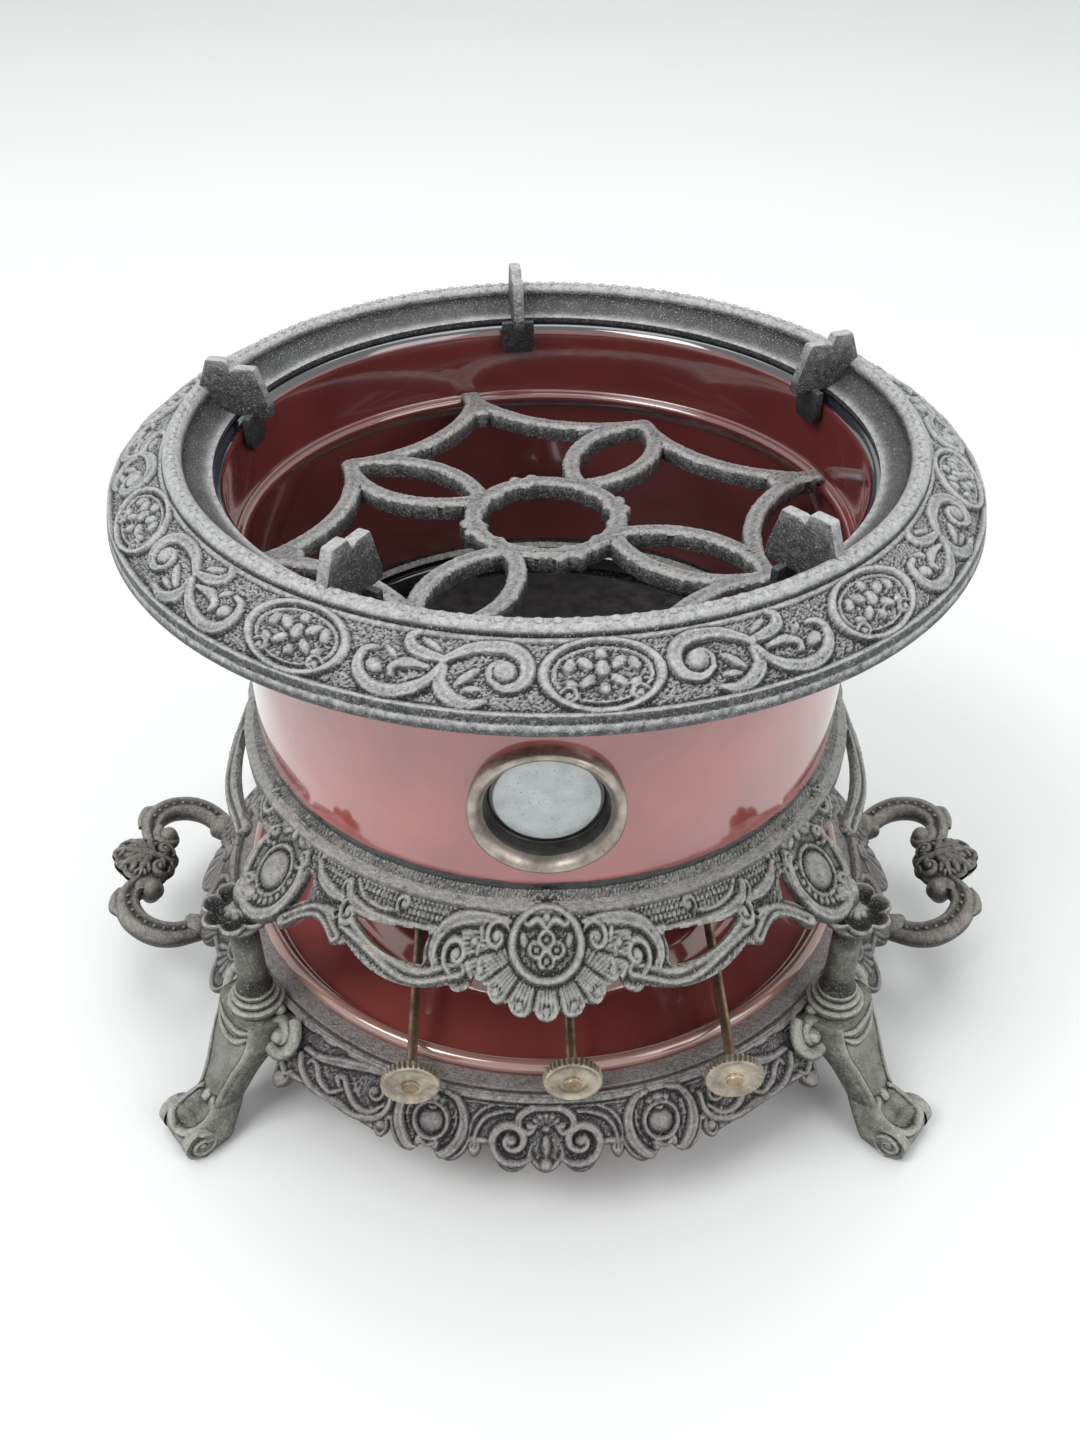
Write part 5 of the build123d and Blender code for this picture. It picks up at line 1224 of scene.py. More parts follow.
def shell_relief(r, u, v):
    """The shell pendant: a ribbed, lobed fan round a framed core of berries."""
    shell = Relief(u, v - SHELL_PLACE)
    q = np.hypot(u / SHELL_WIDE, (v - SHELL_PLACE) / SHELL_TALL)
    a = np.degrees(np.arctan2((v - SHELL_PLACE) / SHELL_TALL, u / SHELL_WIDE))
    across = np.abs(((a + LOBE_STEP / 2) % LOBE_STEP) / LOBE_STEP - 0.5) * 2
    lip = np.sqrt(np.clip(1 - across**4, 0, 1)) * np.clip((1.35 - q) / 0.07, 0, 1) ** 0.5
    dish = 0.85 * np.clip(1 - ((q - 1.15) / 0.15) ** 2, 0, 1) * np.clip(1 - across**2, 0, 1)
    fine = 0.16 * np.cos(np.radians(a * 96))
    band = (q > 0.66) & (v > 126)
    shell.h = np.where(band, (2.2 * np.clip((q - 0.45) / 0.7, 0.25, 1) + fine) * lip - dish, 0)
    for lobe in range(5):
        turn = math.radians(LOBE_STEP * lobe)
        shell.dome((25.2 * math.cos(turn), 18.4 * math.sin(turn)), 1.7, 1.7, 0, 2.1)
    core = np.hypot(u / 11.6, (v - 132.8) / 9.2) < 1
    shell.h = np.where(core, 0.3, shell.h)
    shell.rim((0, 1.8), 12.0, 9.4, 0, 1.5, 2.5)
    for at in ((0, 6.0), (3.5, 3.2), (0, 0.6)):
        shell.rim(at, 2.5, 2.0, 0, 0.8, 1.9)
        shell.dome(at, 1.7, 1.3, 0, 1.2)
    shell.dome((0, 3.2), 1.6, 1.3, 0, 2.3)
    shell.stroke([(0, -2.2), (3.0, -4.4), (6.4, -3.2), (8.6, -4.8)], (1.2, 1.5, 0.9), 1.9)
    shell.dome((0, -5.0), 1.8, 2.0, 0, 2.1)
    shell.dome((8.0, 0.6), 1.4, 2.4, 20, 1.3)
    r.h = np.where(core | band, np.maximum(shell.h, r.h * (~core)), np.maximum(r.h, shell.h))


def cartouche_relief(r, u, v):
    """The round cartouche over each column, with a boss in a scrolled frame."""
    x, y = seen_from(u, v, *CARTOUCHE)
    boss = Relief(x, y)
    ring = np.hypot(x, y)
    boss.h = 1.1 * np.clip((ring - 6.0) / 8.0, 0, 1) + 0.2
    boss.dome((0, -0.5), 6.3, 5.9, 0, 3.3, 0.55)
    boss.rim((0, -0.5), 7.6, 7.2, 0, 0.7, 1.5)
    boss.stroke([(-10.4, -8.2), (-13.2, -1.0), (-10.6, 7.6), (-3.4, 12.2), (4.4, 12.0),
                 (9.6, 7.6)], (1.0, 2.0, 2.4, 2.0, 1.2), 2.8, groove=0.5)
    boss.stroke([(10.8, -8.6), (13.4, -2.4), (12.2, 4.0), (9.0, 6.6)], (1.0, 2.0, 1.3), 2.6,
                groove=0.5)
    for side in (-1, 1):
        boss.scroll((side * 9.4, -8.4), 3.3, 90 + side * 40, -side * 1.2, 1.1, 2.4, eye=1.4)
        boss.dome((side * 4.4, -11.4), 2.6, 1.4, side * 28, 2.0)
    boss.scroll((7.6, 6.4), 3.0, 60, -1.2, 1.0, 2.4, eye=1.2)
    boss.dome((0, -12.0), 1.7, 2.4, 0, 2.2)
    boss.fan((0, -0.5), 7.6, 10.6, 60, 190, 8, 2.0)
    return np.where(ring < 15.2, boss.h, r.h)


def build_apron(half):
    """Half of the pierced apron, the front one or the rear one."""
    degrees = np.linspace(0, 90, 421)
    radii = np.arange(116.6, 161.2, 0.62)
    b, r = np.meshgrid(degrees, radii, indexing="ij")
    u, v = r * np.sin(np.radians(b)), r * np.cos(np.radians(b))
    depth = apron_depth(u, v)
    carved = apron_relief(u, v)
    rng = np.random.default_rng(11 if half == "front" else 12)
    stipple = 0.22 * np.abs(rng.normal(0, 1, carved.shape)) * np.clip(1 - carved / 0.6, 0, 1)
    carved = carved - 0.6 * (1 - np.clip(depth / 1.3, 0, 1)) ** 2 + stipple
    build_cone_half("apron", half, (degrees, radii, depth, carved, 0.0), APRON_CONE, 2.6,
                    finishes().frame_iron, "upper_frame")


def lobed_reach(angle, circle, lobe, count, first):
    """Outline of a ring of lobes, as a distance from its middle."""
    off = (angle - first + math.pi / count) % (2 * math.pi / count) - math.pi / count
    return circle * np.cos(off) + np.sqrt(np.clip(lobe**2 - (circle * np.sin(off)) ** 2, 0, None))


CUP_TURNS = (-141, -39, 39, 141)
CUP_LOBES = 7


def build_frame_seat():
    """The turned seat of the drum."""
    profile = [(113.0, 133.0), (101.0, 133.0), (101.0, 129.6), (117.5, 129.6), (118.6, 132.4),
               (125.8, 134.6), (126.0, 140.2), (125.6, 140.9), (121.5, 142.35), (114.2, 142.35),
               (113.2, 141.4)]
    verts, faces, _ = closed_revolve(profile, 480)
    relief = np.where(verts[:, 2] > 138, 1.6, -0.2)
    make_piece("frame_seat", (verts, faces, relief), finishes().frame_iron, "stand",
               sharp=35)


def build_cups():
    """The lobed cups over the columns, each with its neck."""
    rows = np.array([
        (0.0, 108.0), (0.62, 108.0), (0.86, 108.5), (0.97, 109.6), (1.0, 110.8), (0.97, 112.0),
        (0.92, 112.4), (0.84, 111.6), (0.7, 110.3), (0.55, 109.6), (0.4, 109.9), (0.3, 111.2),
        (0.2, 112.2), (0.0, 112.5)])
    neck, neck_faces, _ = revolved(
        [(0.0, 109.0), (8.6, 109.0), (8.3, 112.5), (7.9, 115.5), (6.6, 118.6), (4.2, 120.8),
         (0.0, 121.8)], 48)
    turn = full_turn(18 * CUP_LOBES)
    cups = []
    for azimuth in CUP_TURNS:
        reach = lobed_reach(turn, 9.6, 4.9, CUP_LOBES, math.radians(azimuth))
        x = rows[:, :1] * reach * np.cos(turn)
        y = rows[:, :1] * reach * np.sin(turn)
        verts = np.stack([x, y, rows[:, 1:] + 0 * turn], -1).reshape(-1, 3)
        relief = np.where(verts[:, 2] > 112.1, 1.5, -0.4)
        cups.append((verts + np.append(polar(152, azimuth), 0),
                     ring_faces(len(rows), len(turn)), relief))
        cups.append((neck + np.append(polar(144, azimuth), 0), neck_faces,
                     np.full(len(neck), 0.4)))
    make_piece("frame_cups", joined(cups), finishes().frame_iron, "stand",
               sharp=50)


# Base ring

BASE_CONE = (143, 57, 21.0 / 15.5)  # radius and height at its top, and its slope
BASE_SLOPE = BASE_CONE[2]
SLANT = math.hypot(BASE_SLOPE, 1)
ARC_MM = math.radians(1) * 151
OVALS = (17, 78)  # degrees from the front
BASE_GROUND = 0.9
BASE_LOBES = (
    (151, 4.8, 9.2), (151.6, 0, 8.4), (151, 13.8, 8.6), (151, 20.2, 8.6), (147.4, 17, 9.8),
    (155.2, 10.2, 2.5), (155.8, 24.3, 3.2), (156.8, 42.6, 4.6), (152, 65, 9), (151, 74.8, 8.6),
    (151, 81.2, 8.6), (147.4, 78, 9.8), (147, 90, 16))


def base_depth(b, r):
    """How far a point lies inside the base ring's scalloped face, degrees from the front."""
    b = np.abs(b)
    u, v = r * np.sin(np.radians(b)), r * np.cos(np.radians(b))
    solid = np.minimum(r - 154.5, dots(u, v, BASE_LOBES))
    scallop = 0.9 * np.cos(np.radians((b - 34.5) * 14))
    solid = np.minimum(solid, np.maximum(r - 157.4 + scallop, np.abs(b - 34.8) - 9.8))
    aside, _ = seen_from(u, v, COLUMN_CIRCLE, COLUMN_TURN)
    return np.minimum(-solid, np.abs(aside) - 15.4)


def base_relief(b, r):
    """Heights over the face: paired scrolls, crowned ovals, leafed panels, fans and balls."""
    s = (r - BASE_CONE[0]) * SLANT
    d = Relief(np.abs(b) * ARC_MM, s)
    for at, wide, high in ((1.3, 1.0, 1.1), (3.4, 0.6, 0.6)):
        d.raise_to(high * rounded((s - at) / wide))
    d.stroke([(0, 3.4), (5.5, 3.8), (10.0, 6.8), (10.4, 11.2), (6.6, 13.2), (4.4, 10.6)],
             (1.5, 1.7, 1.2), 2.3, 0.5)
    d.dome((6.3, 10.4), 1.6, 1.6, 0, 2.4)
    d.fan((0, 11.5), 1.6, 6.4, 200, 340, 5, 1.4)
    d.dome((0, 11.6), 1.7, 1.5, 0, 1.8)
    d.scroll((13.0, 16.6), 9.6, 138, -1.5, 2.0, 2.8, eye=2.2, groove=0.5)
    d.dome((0, 18.4), 1.7, 4.6, 0, 2.0)
    d.dome((0, 25.4), 2.3, 2.9, 0, 2.6)
    d.stroke([(27.0, 21.5), (26.8, 15.0), (23.4, 8.6), (16.5, 5.6), (12.6, 5.2)], (0.7, 1.2, 0.8),
             1.6)
    d.stroke([(29.2, 16.5), (28.6, 11.0), (25.6, 6.4), (21.0, 3.6)], (0.5, 0.9, 0.6), 1.2)
    d.dome((10.2 * ARC_MM, 21.6), 2.0, 2.0, 0, 1.7)
    for middle in (ARC_MM * turn for turn in OVALS):
        for side in (-1, 1):
            rim = [(4.6, 1.2), (9.6, 3.4), (12.9, 10.0), (12.3, 18.0), (8.2, 24.4),
                   (3.4, 26.2), (1.3, 23.8), (3.4, 21.8)]
            d.stroke([(middle + side * x, y) for x, y in rim], (1.3, 2.5, 1.5), 2.8, 0.6)
            d.dome((middle + side * 3.2, 23.2), 1.8, 1.7, 0, 2.7)
            d.dome((middle + side * 3.4, 5.2), 1.6, 1.4, side * 30, 2.0)
            d.leaf([(middle + side * 9.4, 8.0), (middle + side * 9.9, 13.0),
                    (middle + side * 8.2, 18.4)], 2.2, 1.3, 3)
        d.rim((middle, 13.6), 6.7, 7.1, 0, 1.1, 2.0)
        d.dome((middle, 14.2), 5.0, 5.2, 0, 2.3, 0.7)
        d.dome((middle, 4.4), 2.6, 1.9, 0, 2.4)
        d.dome((middle, 8.4), 2.0, 1.0, 0, 2.6)
    d.dome((24.3 * ARC_MM, 21.6), 2.2, 2.6, 0, 2.3)
    panel = [(62.4, 8.0), (62.8, 14.5), (66.8, 19.8), (75, 22.4), (86, 23.2), (96, 22.0),
             (104, 17.8), (107.4, 12.0)]
    d.stroke(panel, (1.2, 1.9, 1.3), 2.3, 0.4)
    d.stroke([(66, 1.8), (76, 3.0), (87, 5.6), (97, 8.6), (106, 9.2)], (1.4, 2.5, 1.2), 2.1, 0.5)
    d.scroll((69.6, 10.4), 4.2, 250, -1.1, 1.2, 1.8, eye=1.6)
    d.stroke([(64.8, 14.0), (70, 18.8), (76.5, 18.8), (81.5, 14.5), (84.6, 10.8), (87.6, 12.2),
              (85.6, 14.6)], (0.8, 1.6, 1.1), 1.9, 0.3)
    d.stroke([(83.6, 15.4), (88.5, 18.8), (94.4, 17.2), (98.0, 12.8), (101.0, 11.6),
              (102.2, 13.8)], (0.8, 1.5, 1.0), 1.9, 0.3)
    d.dome((86.4, 13.0), 1.4, 1.4, 0, 2.1)
    d.leaf([(76, 14.6), (79, 11.4), (80.5, 8.4)], 2.6, 1.1, 3)
    d.leaf([(92, 14.0), (94, 11.6), (95.0, 9.8)], 2.0, 1.0, 3)
    d.scroll((112.2, 14.4), 3.9, 90, -1.2, 1.2, 1.9, eye=1.5)
    d.stroke([(108.6, 21.0), (110.4, 23.4), (114.2, 21.6), (116.2, 16.0)], (0.8, 1.3, 0.9), 1.7)
    d.dome((42.6 * ARC_MM, 27.4), 3.8, 4.4, 0, 2.6)
    for middle, reach in ((65 * ARC_MM, 14.5), (90 * ARC_MM, 23.5)):
        d.fan((middle, 7.0), 5.2, reach, 28, 152, 7, 1.9)
        d.rim((middle, 7.0), 5.0, 4.4, 0, 1.0, 1.7)
        d.dome((middle, 7.0), 3.2, 2.8, 0, 2.1)
    d.leaf([(84.0 * ARC_MM, 9.0), (84.6 * ARC_MM, 15.0), (83.6 * ARC_MM, 22.0)], 3.0, 1.4, 4)
    for x, y, wide, tall in ((104.5, 3.6, 6.6, 2.5), (91.0, 2.4, 5.6, 1.6),
                             (112.5, 7.6, 2.6, 1.8)):
        d.sink((x, y), wide, tall, 12, 2.2)
    return d.h


def build_base_half(half):
    """Half of the base ring's carved face, the front one or the rear one."""
    degrees = np.linspace(0, 90, 481)
    radii = np.arange(142.2, 164, 0.4)
    b, r = np.meshgrid(degrees, radii, indexing="ij")
    depth = base_depth(b, r)
    carved = base_relief(b, r)
    edge = np.clip(1 - ((depth * SLANT - 1.6) / 1.5) ** 2, 0, 1) ** 0.5
    carved = np.maximum(carved, 1.3 * edge * (r > 149))
    rng = np.random.default_rng(21 if half == "front" else 22)
    stipple = 0.2 * np.abs(rng.normal(0, 1, carved.shape)) * np.clip(1 - carved / 0.7, 0, 1)
    carved = carved + stipple
    carved = carved - BASE_GROUND - 0.7 * (1 - np.clip(depth / 0.7, 0, 1)) ** 2
    build_cone_half("base_face", half, (degrees, radii, depth, carved, BASE_GROUND), BASE_CONE,
                    3.6, finishes().base_iron, "base_ring")


def build_base_flange():
    """The flat flange between the tank and the face."""
    profile = [(129.6, 53.0), (130.2, 52.5), (142.6, 52.5), (143.6, 54.5), (143.4, 56.4),
               (142.6, 57.0), (140.6, 57.0), (140.1, 56.5), (139.1, 56.5), (138.6, 57.0),
               (130.2, 57.0), (129.6, 56.4)]
    verts, faces, _ = closed_revolve(profile, 480)
    relief = np.where(verts[:, 2] > 56.8, 1.2, -0.2)
    make_piece("base_flange", (verts, faces, relief), finishes().base_iron, "stand",
               sharp=35)


# Legs

TOE = (190.5, 7.5)
TOE_ROLL = 7.3
LEG_TOP = 58.0
LEG_AZIMUTHS = (("front_left", -141), ("front_right", -39), ("rear_left", 141),
                ("rear_right", 39))


def shoulder(points, side):
    """From a plane on the base's slope beside a leg to the leg at azimuth nought."""
    x, y, high = points.T
    out, down = 1 / SLANT, -BASE_SLOPE / SLANT
    return np.stack([150.4 + y * out - high * down, side * (15.8 + x),
                     50.6 + y * down + high * out], 1)


def spaced(path, number):
    """Even steps along a path, and how far along it they are."""
    reach = path_reach(path)
    at = np.linspace(0, reach[-1], number)
    return np.stack([np.interp(at, reach, path[:, 0]), np.interp(at, reach, path[:, 1])], 1), at


def leg_curves():
    """The leg's outer and inner outline, from the base down to the toe."""
    outer = np.vstack([
        smooth_path([(163, 58), (165.6, 50), (170, 40), (175.5, 28.5), (182, 19),
                     (190.5, 15)], 12),
        arc_through((190.5, 15), (198, 7.5), (190.5, 0.05), 14)[1:],
    ])
    inner = np.vstack([
        smooth_path([(143.6, 52.4), (142.8, 46.5), (147.5, 42.0), (156, 34), (163.0, 22.5),
                     (169, 11), (175.5, 0.0)], 10),
        [(190.3, 0.0)],
    ])
    return outer, inner


def leg_body():
    """The leg lofted between its curves, with a scooped toe and leaf mouldings on its face."""
    outer, inner = leg_curves()
    rows, around = 150, 120
    front, along = spaced(outer, rows)
    back, _ = spaced(inner, rows)
    mid_height = (front[:, 1] + back[:, 1]) / 2
    half = np.interp(mid_height, [0, 7.5, 18, 30, 44, 58], [12.6, 13, 9, 11.5, 14.8, 15])
    angle = full_turn(around)
    across = squared_off(np.cos(angle), 0.62)
    depth = squared_off(np.sin(angle), 0.55)
    centre = (front + back) / 2
    reach = (front - back) / 2
    width = half[:, None] * across
    spine = centre[:, None, :] + reach[:, None, :] * depth[:, None]
    u = np.abs(width)
    s = np.broadcast_to(along[:, None], u.shape)
    d = Relief(u, s)
    d.stroke([(12.6, -2), (12.4, 14), (9.5, 26), (7.2, 40), (8.6, 52)], (1.3, 1.4, 0.9), 1.3)
    d.stroke([(0, 6.0), (6.5, 5.2), (13.0, 1.5)], (1.6, 1.5, 1.0), 1.0)
    d.stroke([(0, 12.0), (6.0, 10.4), (11.0, 5.8)], (1.5, 1.3, 0.8), 0.8)
    d.sink((0, 28.0), 6.4, 11.5, 0, 1.1)
    d.stroke([(4.6, 40.5), (7.4, 44.5), (8.8, 51), (7.0, 57.5), (0, 60.5)], (1.0, 1.6, 1.8), 1.9)
    d.dome((0, 42.5), 2.2, 3.2, 0, 1.6)
    d.sink((0, 51.0), 8.2, 8.0, 0, 2.3)
    facing_out = np.clip(depth, 0, 1)[None, :]
    end = np.clip((along[-1] - along[:, None]) / 20, 0, 1) * np.clip(along[:, None] / 2.5, 0, 1)
    lift = (d.h - 0.7) * facing_out * end
    out = reach / (np.linalg.norm(reach, axis=1)[:, None] + 1e-9)
    spine = spine + out[:, None, :] * lift[:, :, None]
    spine[..., 1] = np.clip(spine[..., 1], 0.0, LEG_TOP)
    spine[0, :, 1] = np.where(depth > -0.2, LEG_TOP, 52.5 + 5.5 * np.clip(depth + 1.0, 0, 1))
    grid = np.stack([spine[..., 0], -width, spine[..., 1]], -1).reshape(-1, 3)
    return grid, capped_faces(rows, around), (d.h * facing_out).reshape(-1) + 0.2


def toe_rolls():
    """The curled ends of the toe, one on each side."""
    steps = 72
    rings = np.linspace(0, TOE_ROLL, 20)
    rr, tt = np.meshgrid(rings, full_turn(steps), indexing="ij")
    rolls = []
    for side in (-1, 1):
        curl = Relief(rr * np.cos(tt), rr * np.sin(tt) * side)
        curl.scroll((0, 0), 6.6, 90, 1.6, 1.2, 1.3, eye=1.9)
        bulge = 12.3 + (curl.h - 0.2) * np.clip((TOE_ROLL - rr) / 1.2, 0, 1)
        face = np.stack([TOE[0] + rr * np.cos(tt), side * bulge, TOE[1] + rr * np.sin(tt)], -1)
        face = face.reshape(-1, 3)
        skirt = face[-steps:].copy()
        skirt[:, 1] = side * 8.0
        points = np.vstack([face, skirt])
        points[:, 2] = np.maximum(points[:, 2], 0.0)
        relief = np.append(curl.h.reshape(-1), np.zeros(steps)) + 0.2
        rolls.append((points, ring_faces(len(rings) + 1, steps), relief))
    return rolls


def shoulder_scrolls():
    """A scroll and two balls on each side of the knee."""
    parts = []
    for side in (-1, 1):
        curl = spiral((0, 0), 9.8, 3.4, -70, 1.3, 48)
        points, tube, _ = tube_along(curl, (2.4, 3.3, 1.8), 18, 1.0)
        parts.append((shoulder(points, side), tube if side < 0 else [f[::-1] for f in tube],
                      np.ones(len(points))))
        for centre, size in (((0.6, 0.4, 0.6), 3.7), ((-6.0, -7.4, 0.4), 2.6)):
            points, globe, relief = ball((0, 0, 0), (size, size, size), 18)
            parts.append((points + shoulder(np.array([centre]), side), globe, relief))
    return parts


def build_legs():
    """Four like legs, each with the lug that its bolt goes through."""
    lug, lug_faces = plate_solid(
        [(133.8, 46.7), (147, 46.7), (147, 52.3), (133.8, 52.3)], 27, 0.6)
    lug = np.stack([lug[:, 0], lug[:, 2], lug[:, 1]], 1)
    parts = [leg_body(), (lug, lug_faces, None)] + toe_rolls() + shoulder_scrolls()
    for name, azimuth in LEG_AZIMUTHS:
        made = joined([(turned_about_z(p, azimuth), f, r) for p, f, r in parts])
        make_piece(f"leg_casting_{name}", made, finishes().leg_iron, "stand",
                   (f"leg_{name}",), sharp=50)


# Handles

HANDLE_TILT = math.radians(18)


def tube_along(path, radii, around, squash, groove=0.0):
    """A bar along a path of (u, v) in a plane, its section flattened across the plane."""
    path = np.array(path, float)
    run = np.gradient(path, axis=0)
    run /= np.linalg.norm(run, axis=1)[:, None]
    side = np.stack([run[:, 1], -run[:, 0]], 1)
    angle = full_turn(around)
    reach = np.linspace(0, 1, len(path)), np.linspace(0, 1, len(radii))
    reach = np.interp(*reach, radii)[:, None]
    up = np.sin(angle)[None, :] * reach * squash
    if groove:
        channel = np.clip(1 - (np.cos(angle) / 0.5) ** 2, 0, 1)[None, :] * np.sign(np.sin(angle))
        up = up - groove * channel
    out = np.cos(angle)[None, :] * reach
    flat = path[:, None, :] + side[:, None, :] * out[..., None]
    verts = np.concatenate([flat, up[..., None]], 2).reshape(-1, 3)
    relief = np.broadcast_to(np.abs(np.cos(angle)) * 1.4 - 0.1, (len(path), around)).reshape(-1)
    return verts, capped_faces(len(path), around), relief


def ball(centre, radii, around=28):
    """A ball or an oval one round a centre."""
    rows = np.linspace(-90, 90, around // 2 + 1)
    profile = np.stack([np.cos(np.radians(rows)), np.sin(np.radians(rows))], 1)
    verts, faces, _ = revolved(profile, around)
    return verts * np.array(radii) + np.array(centre), faces, np.full(len(verts), 1.2)


def handle_place(points, side):
    """From the handle's plane (outwards, sideways, up) to the stove, on the right or the left."""
    c, s = math.cos(HANDLE_TILT), math.sin(HANDLE_TILT)
    u, v, w = points.T
    stood = np.stack([157.97 + u * c - w * s, v, 34 + u * s + w * c], 1)
    return stood * np.array([side, side, 1])


def pearl_tree(material):
    """Pearls along the curve of the object: Spacing and Size."""
    form = FormTree("pearls_along_a_bar")
    spacing = form.size("Spacing", 0.0032)
    size = form.size("Size", 0.001)
    line = form.put("GeometryNodeMeshToCurve", {"Mesh": form.start.outputs[0]})
    points = form.put("GeometryNodeCurveToPoints", {"Curve": line, "Length": spacing},
                       mode="LENGTH")
    pearl = form.put("GeometryNodeMeshUVSphere", {"Segments": 8, "Rings": 5, "Radius": 1.0})
    row = form.put("GeometryNodeInstanceOnPoints", {
        "Points": points, "Instance": pearl, "Scale": size})
    return form.close(row, material)


def handle_bars():
    """Bars, scrolls and balls of a handle in its plane, and the lines of its pearls."""
    parts, wires = [], []
    for half in (-1, 1):
        def path(points, steps):
            return smooth_path([(x, half * y) for x, y in points], steps)[::half]

        bar = path([(-3.5, 33.0), (0, 34.6), (9, 40.2), (18, 41.2), (27, 37.0), (32.6, 28.5),
                    (32.4, 20.0), (28.5, 11.0)], 10)
        parts.append(tube_along(bar, (4.6, 5.7, 6.2, 6.0, 5.4, 3.8)[::half], 28, 0.92, 1.4))
        curl = spiral((24.4, half * 17.6), 5.6, 3.2, half * 40, -half * 0.8, 40)
        parts.append(tube_along(curl[::half], (3.4, 2.6, 1.6)[::half], 14, 1.3))
        parts.append(ball((24.2, half * 17.6, 0), (4.8, 4.8, 6.4)))
        parts.append(ball((0.6, half * 33.6, 0), (6.2, 6.6, 6.2)))
        hook = spiral((3.8, half * 31.4), 3.6, 1.2, half * 90, half * 0.9, 24)
        parts.append(tube_along(hook[::half], (2.0, 1.6, 1.0)[::half], 12, 2.4))
        sprig = path([(33.0, 36.6), (37.6, 32.5), (38.6, 26.0), (38.0, 20.5)], 8)
        parts.append(tube_along(sprig, (1.0, 2.3, 2.0, 1.0)[::half], 12, 1.2))
        line = bar[::half][6:-18]
        wires.append(np.column_stack([line, np.full(len(line), 4.0)]))
    return parts, wires


def handle_boss():
    """The leafed boss between the bars, a relief on either side of the handle's plane."""
    rows, around = 34, 168
    turn = full_turn(around)
    leafed = 1.0 + 0.075 * np.abs(np.cos(5.5 * turn)) + 0.05 * np.cos(3 * turn + 0.6)
    q, t = np.meshgrid(np.linspace(0, 1, rows), turn, indexing="ij")
    x, y = q * leafed * 14.0 * np.cos(t), q * leafed * 13.6 * np.sin(t)
    d = Relief(x, y)
    for half in (-1, 1):
        d.scroll((-7.4, half * 5.6), 4.6, half * 200, -half * 1.2, 1.5, 2.4, eye=1.8, groove=0.3)
        d.leaf([(2.0, half * 2.5), (7.0, half * 6.0), (10.5, half * 9.0)], 7.6, 2.2, 2)
        d.leaf([(-1.0, half * 3.0), (0.4, half * 7.0), (0.6, half * 12.0)], 6.6, 2.0, 2)
    d.leaf([(-2.0, 0), (5.0, 0), (13.4, 0)], 7.8, 2.5, 3)
    d.leaf([(-4.5, 0), (-9.0, 0), (-13.6, 0)], 5.4, 2.2, 2)
    swell = 6.2 * rounded(q * 0.99)
    high = np.maximum(swell + (d.h - 0.9) * np.clip((1 - q) * 6, 0, 1), 0.06)
    faces = ring_faces(rows, around)
    relief = (d.h * 0.7).reshape(-1) - 0.1
    return [(np.stack([30.6 + x, y, face * high], -1).reshape(-1, 3), turned, relief)
            for face, turned in ((-1, faces), (1, faces[:, ::-1]))]


def build_handles(sizes):
    """The two handles, the left one a turned copy of the right, with pearls in their channels."""
    iron = finishes().handle_iron
    bars, wires = handle_bars()
    parts = bars + handle_boss()
    for name, side in (("left", -1), ("right", 1)):
        made = joined([(handle_place(v, side), f, r) for v, f, r in parts])
        make_piece(f"handle_casting_{name}", made, iron, "stand",
                   (f"handle_{name}",), sharp=60)
        mesh = bpy.data.meshes.new(f"handle_channel_{name}")
        points = [handle_place(wire, side) * MM for wire in wires]
        count = len(points[0])
        edges = [(first + k, first + k + 1) for first in (0, count) for k in range(count - 1)]
        mesh.from_pydata(np.vstack(points).tolist(), edges, [])
        pearls = grown(f"handle_pearls_{name}", pearl_tree(iron),
                       {"Spacing": 0.0042, "Size": sizes.pearl_radius}, mesh)
        dress(pearls, iron, "stand")


# Columns: one turned post on four places

def post_tree(material):
    """A turned post from the radii stored on its axis, set on four places of a ring."""
    form = FormTree("turned_posts")
    circle = form.size("Circle", COLUMN_CIRCLE * MM)
    spread = form.size("Spread", math.radians(COLUMN_TURN))
    scale = form.size("Width", 1.0)
    around = form.size("Around", 48, "Int")
    line = form.put("GeometryNodeMeshToCurve", {"Mesh": form.start.outputs[0]})
    reach = form.node("GeometryNodeInputNamedAttribute", {"Name": "reach"},
                      data_type="FLOAT").outputs["Attribute"]
    ring = form.put("GeometryNodeCurvePrimitiveCircle", {"Resolution": around, "Radius": 1.0},
                     mode="RADIUS")
    solid = form.put("GeometryNodeCurveToMesh", {
        "Curve": line, "Profile Curve": ring, "Scale": form.sum("MULTIPLY", reach, scale),
        "Fill Caps": True})
    points = form.put("GeometryNodePoints", {"Count": 4})
    index = form.put("GeometryNodeInputIndex")
    ways = (("SINE", form.sum("MODULO", index, 2.0)),
            ("COSINE", form.sum("FLOOR", form.sum("DIVIDE", index, 2.0))))
    place = {}
    for axis, (wave, half) in enumerate(ways):
        side = form.sum("SUBTRACT", form.sum("MULTIPLY", half, 2.0), 1.0)
        out = form.sum("MULTIPLY", form.sum(wave, spread), circle)
        place[axis] = form.sum("MULTIPLY", out, side)
    place = form.put("ShaderNodeCombineXYZ", place)
    points = form.put("GeometryNodeSetPosition", {"Geometry": points, "Position": place})
    posts = form.put("GeometryNodeInstanceOnPoints", {"Points": points, "Instance": solid})
    return form.close(posts, material)


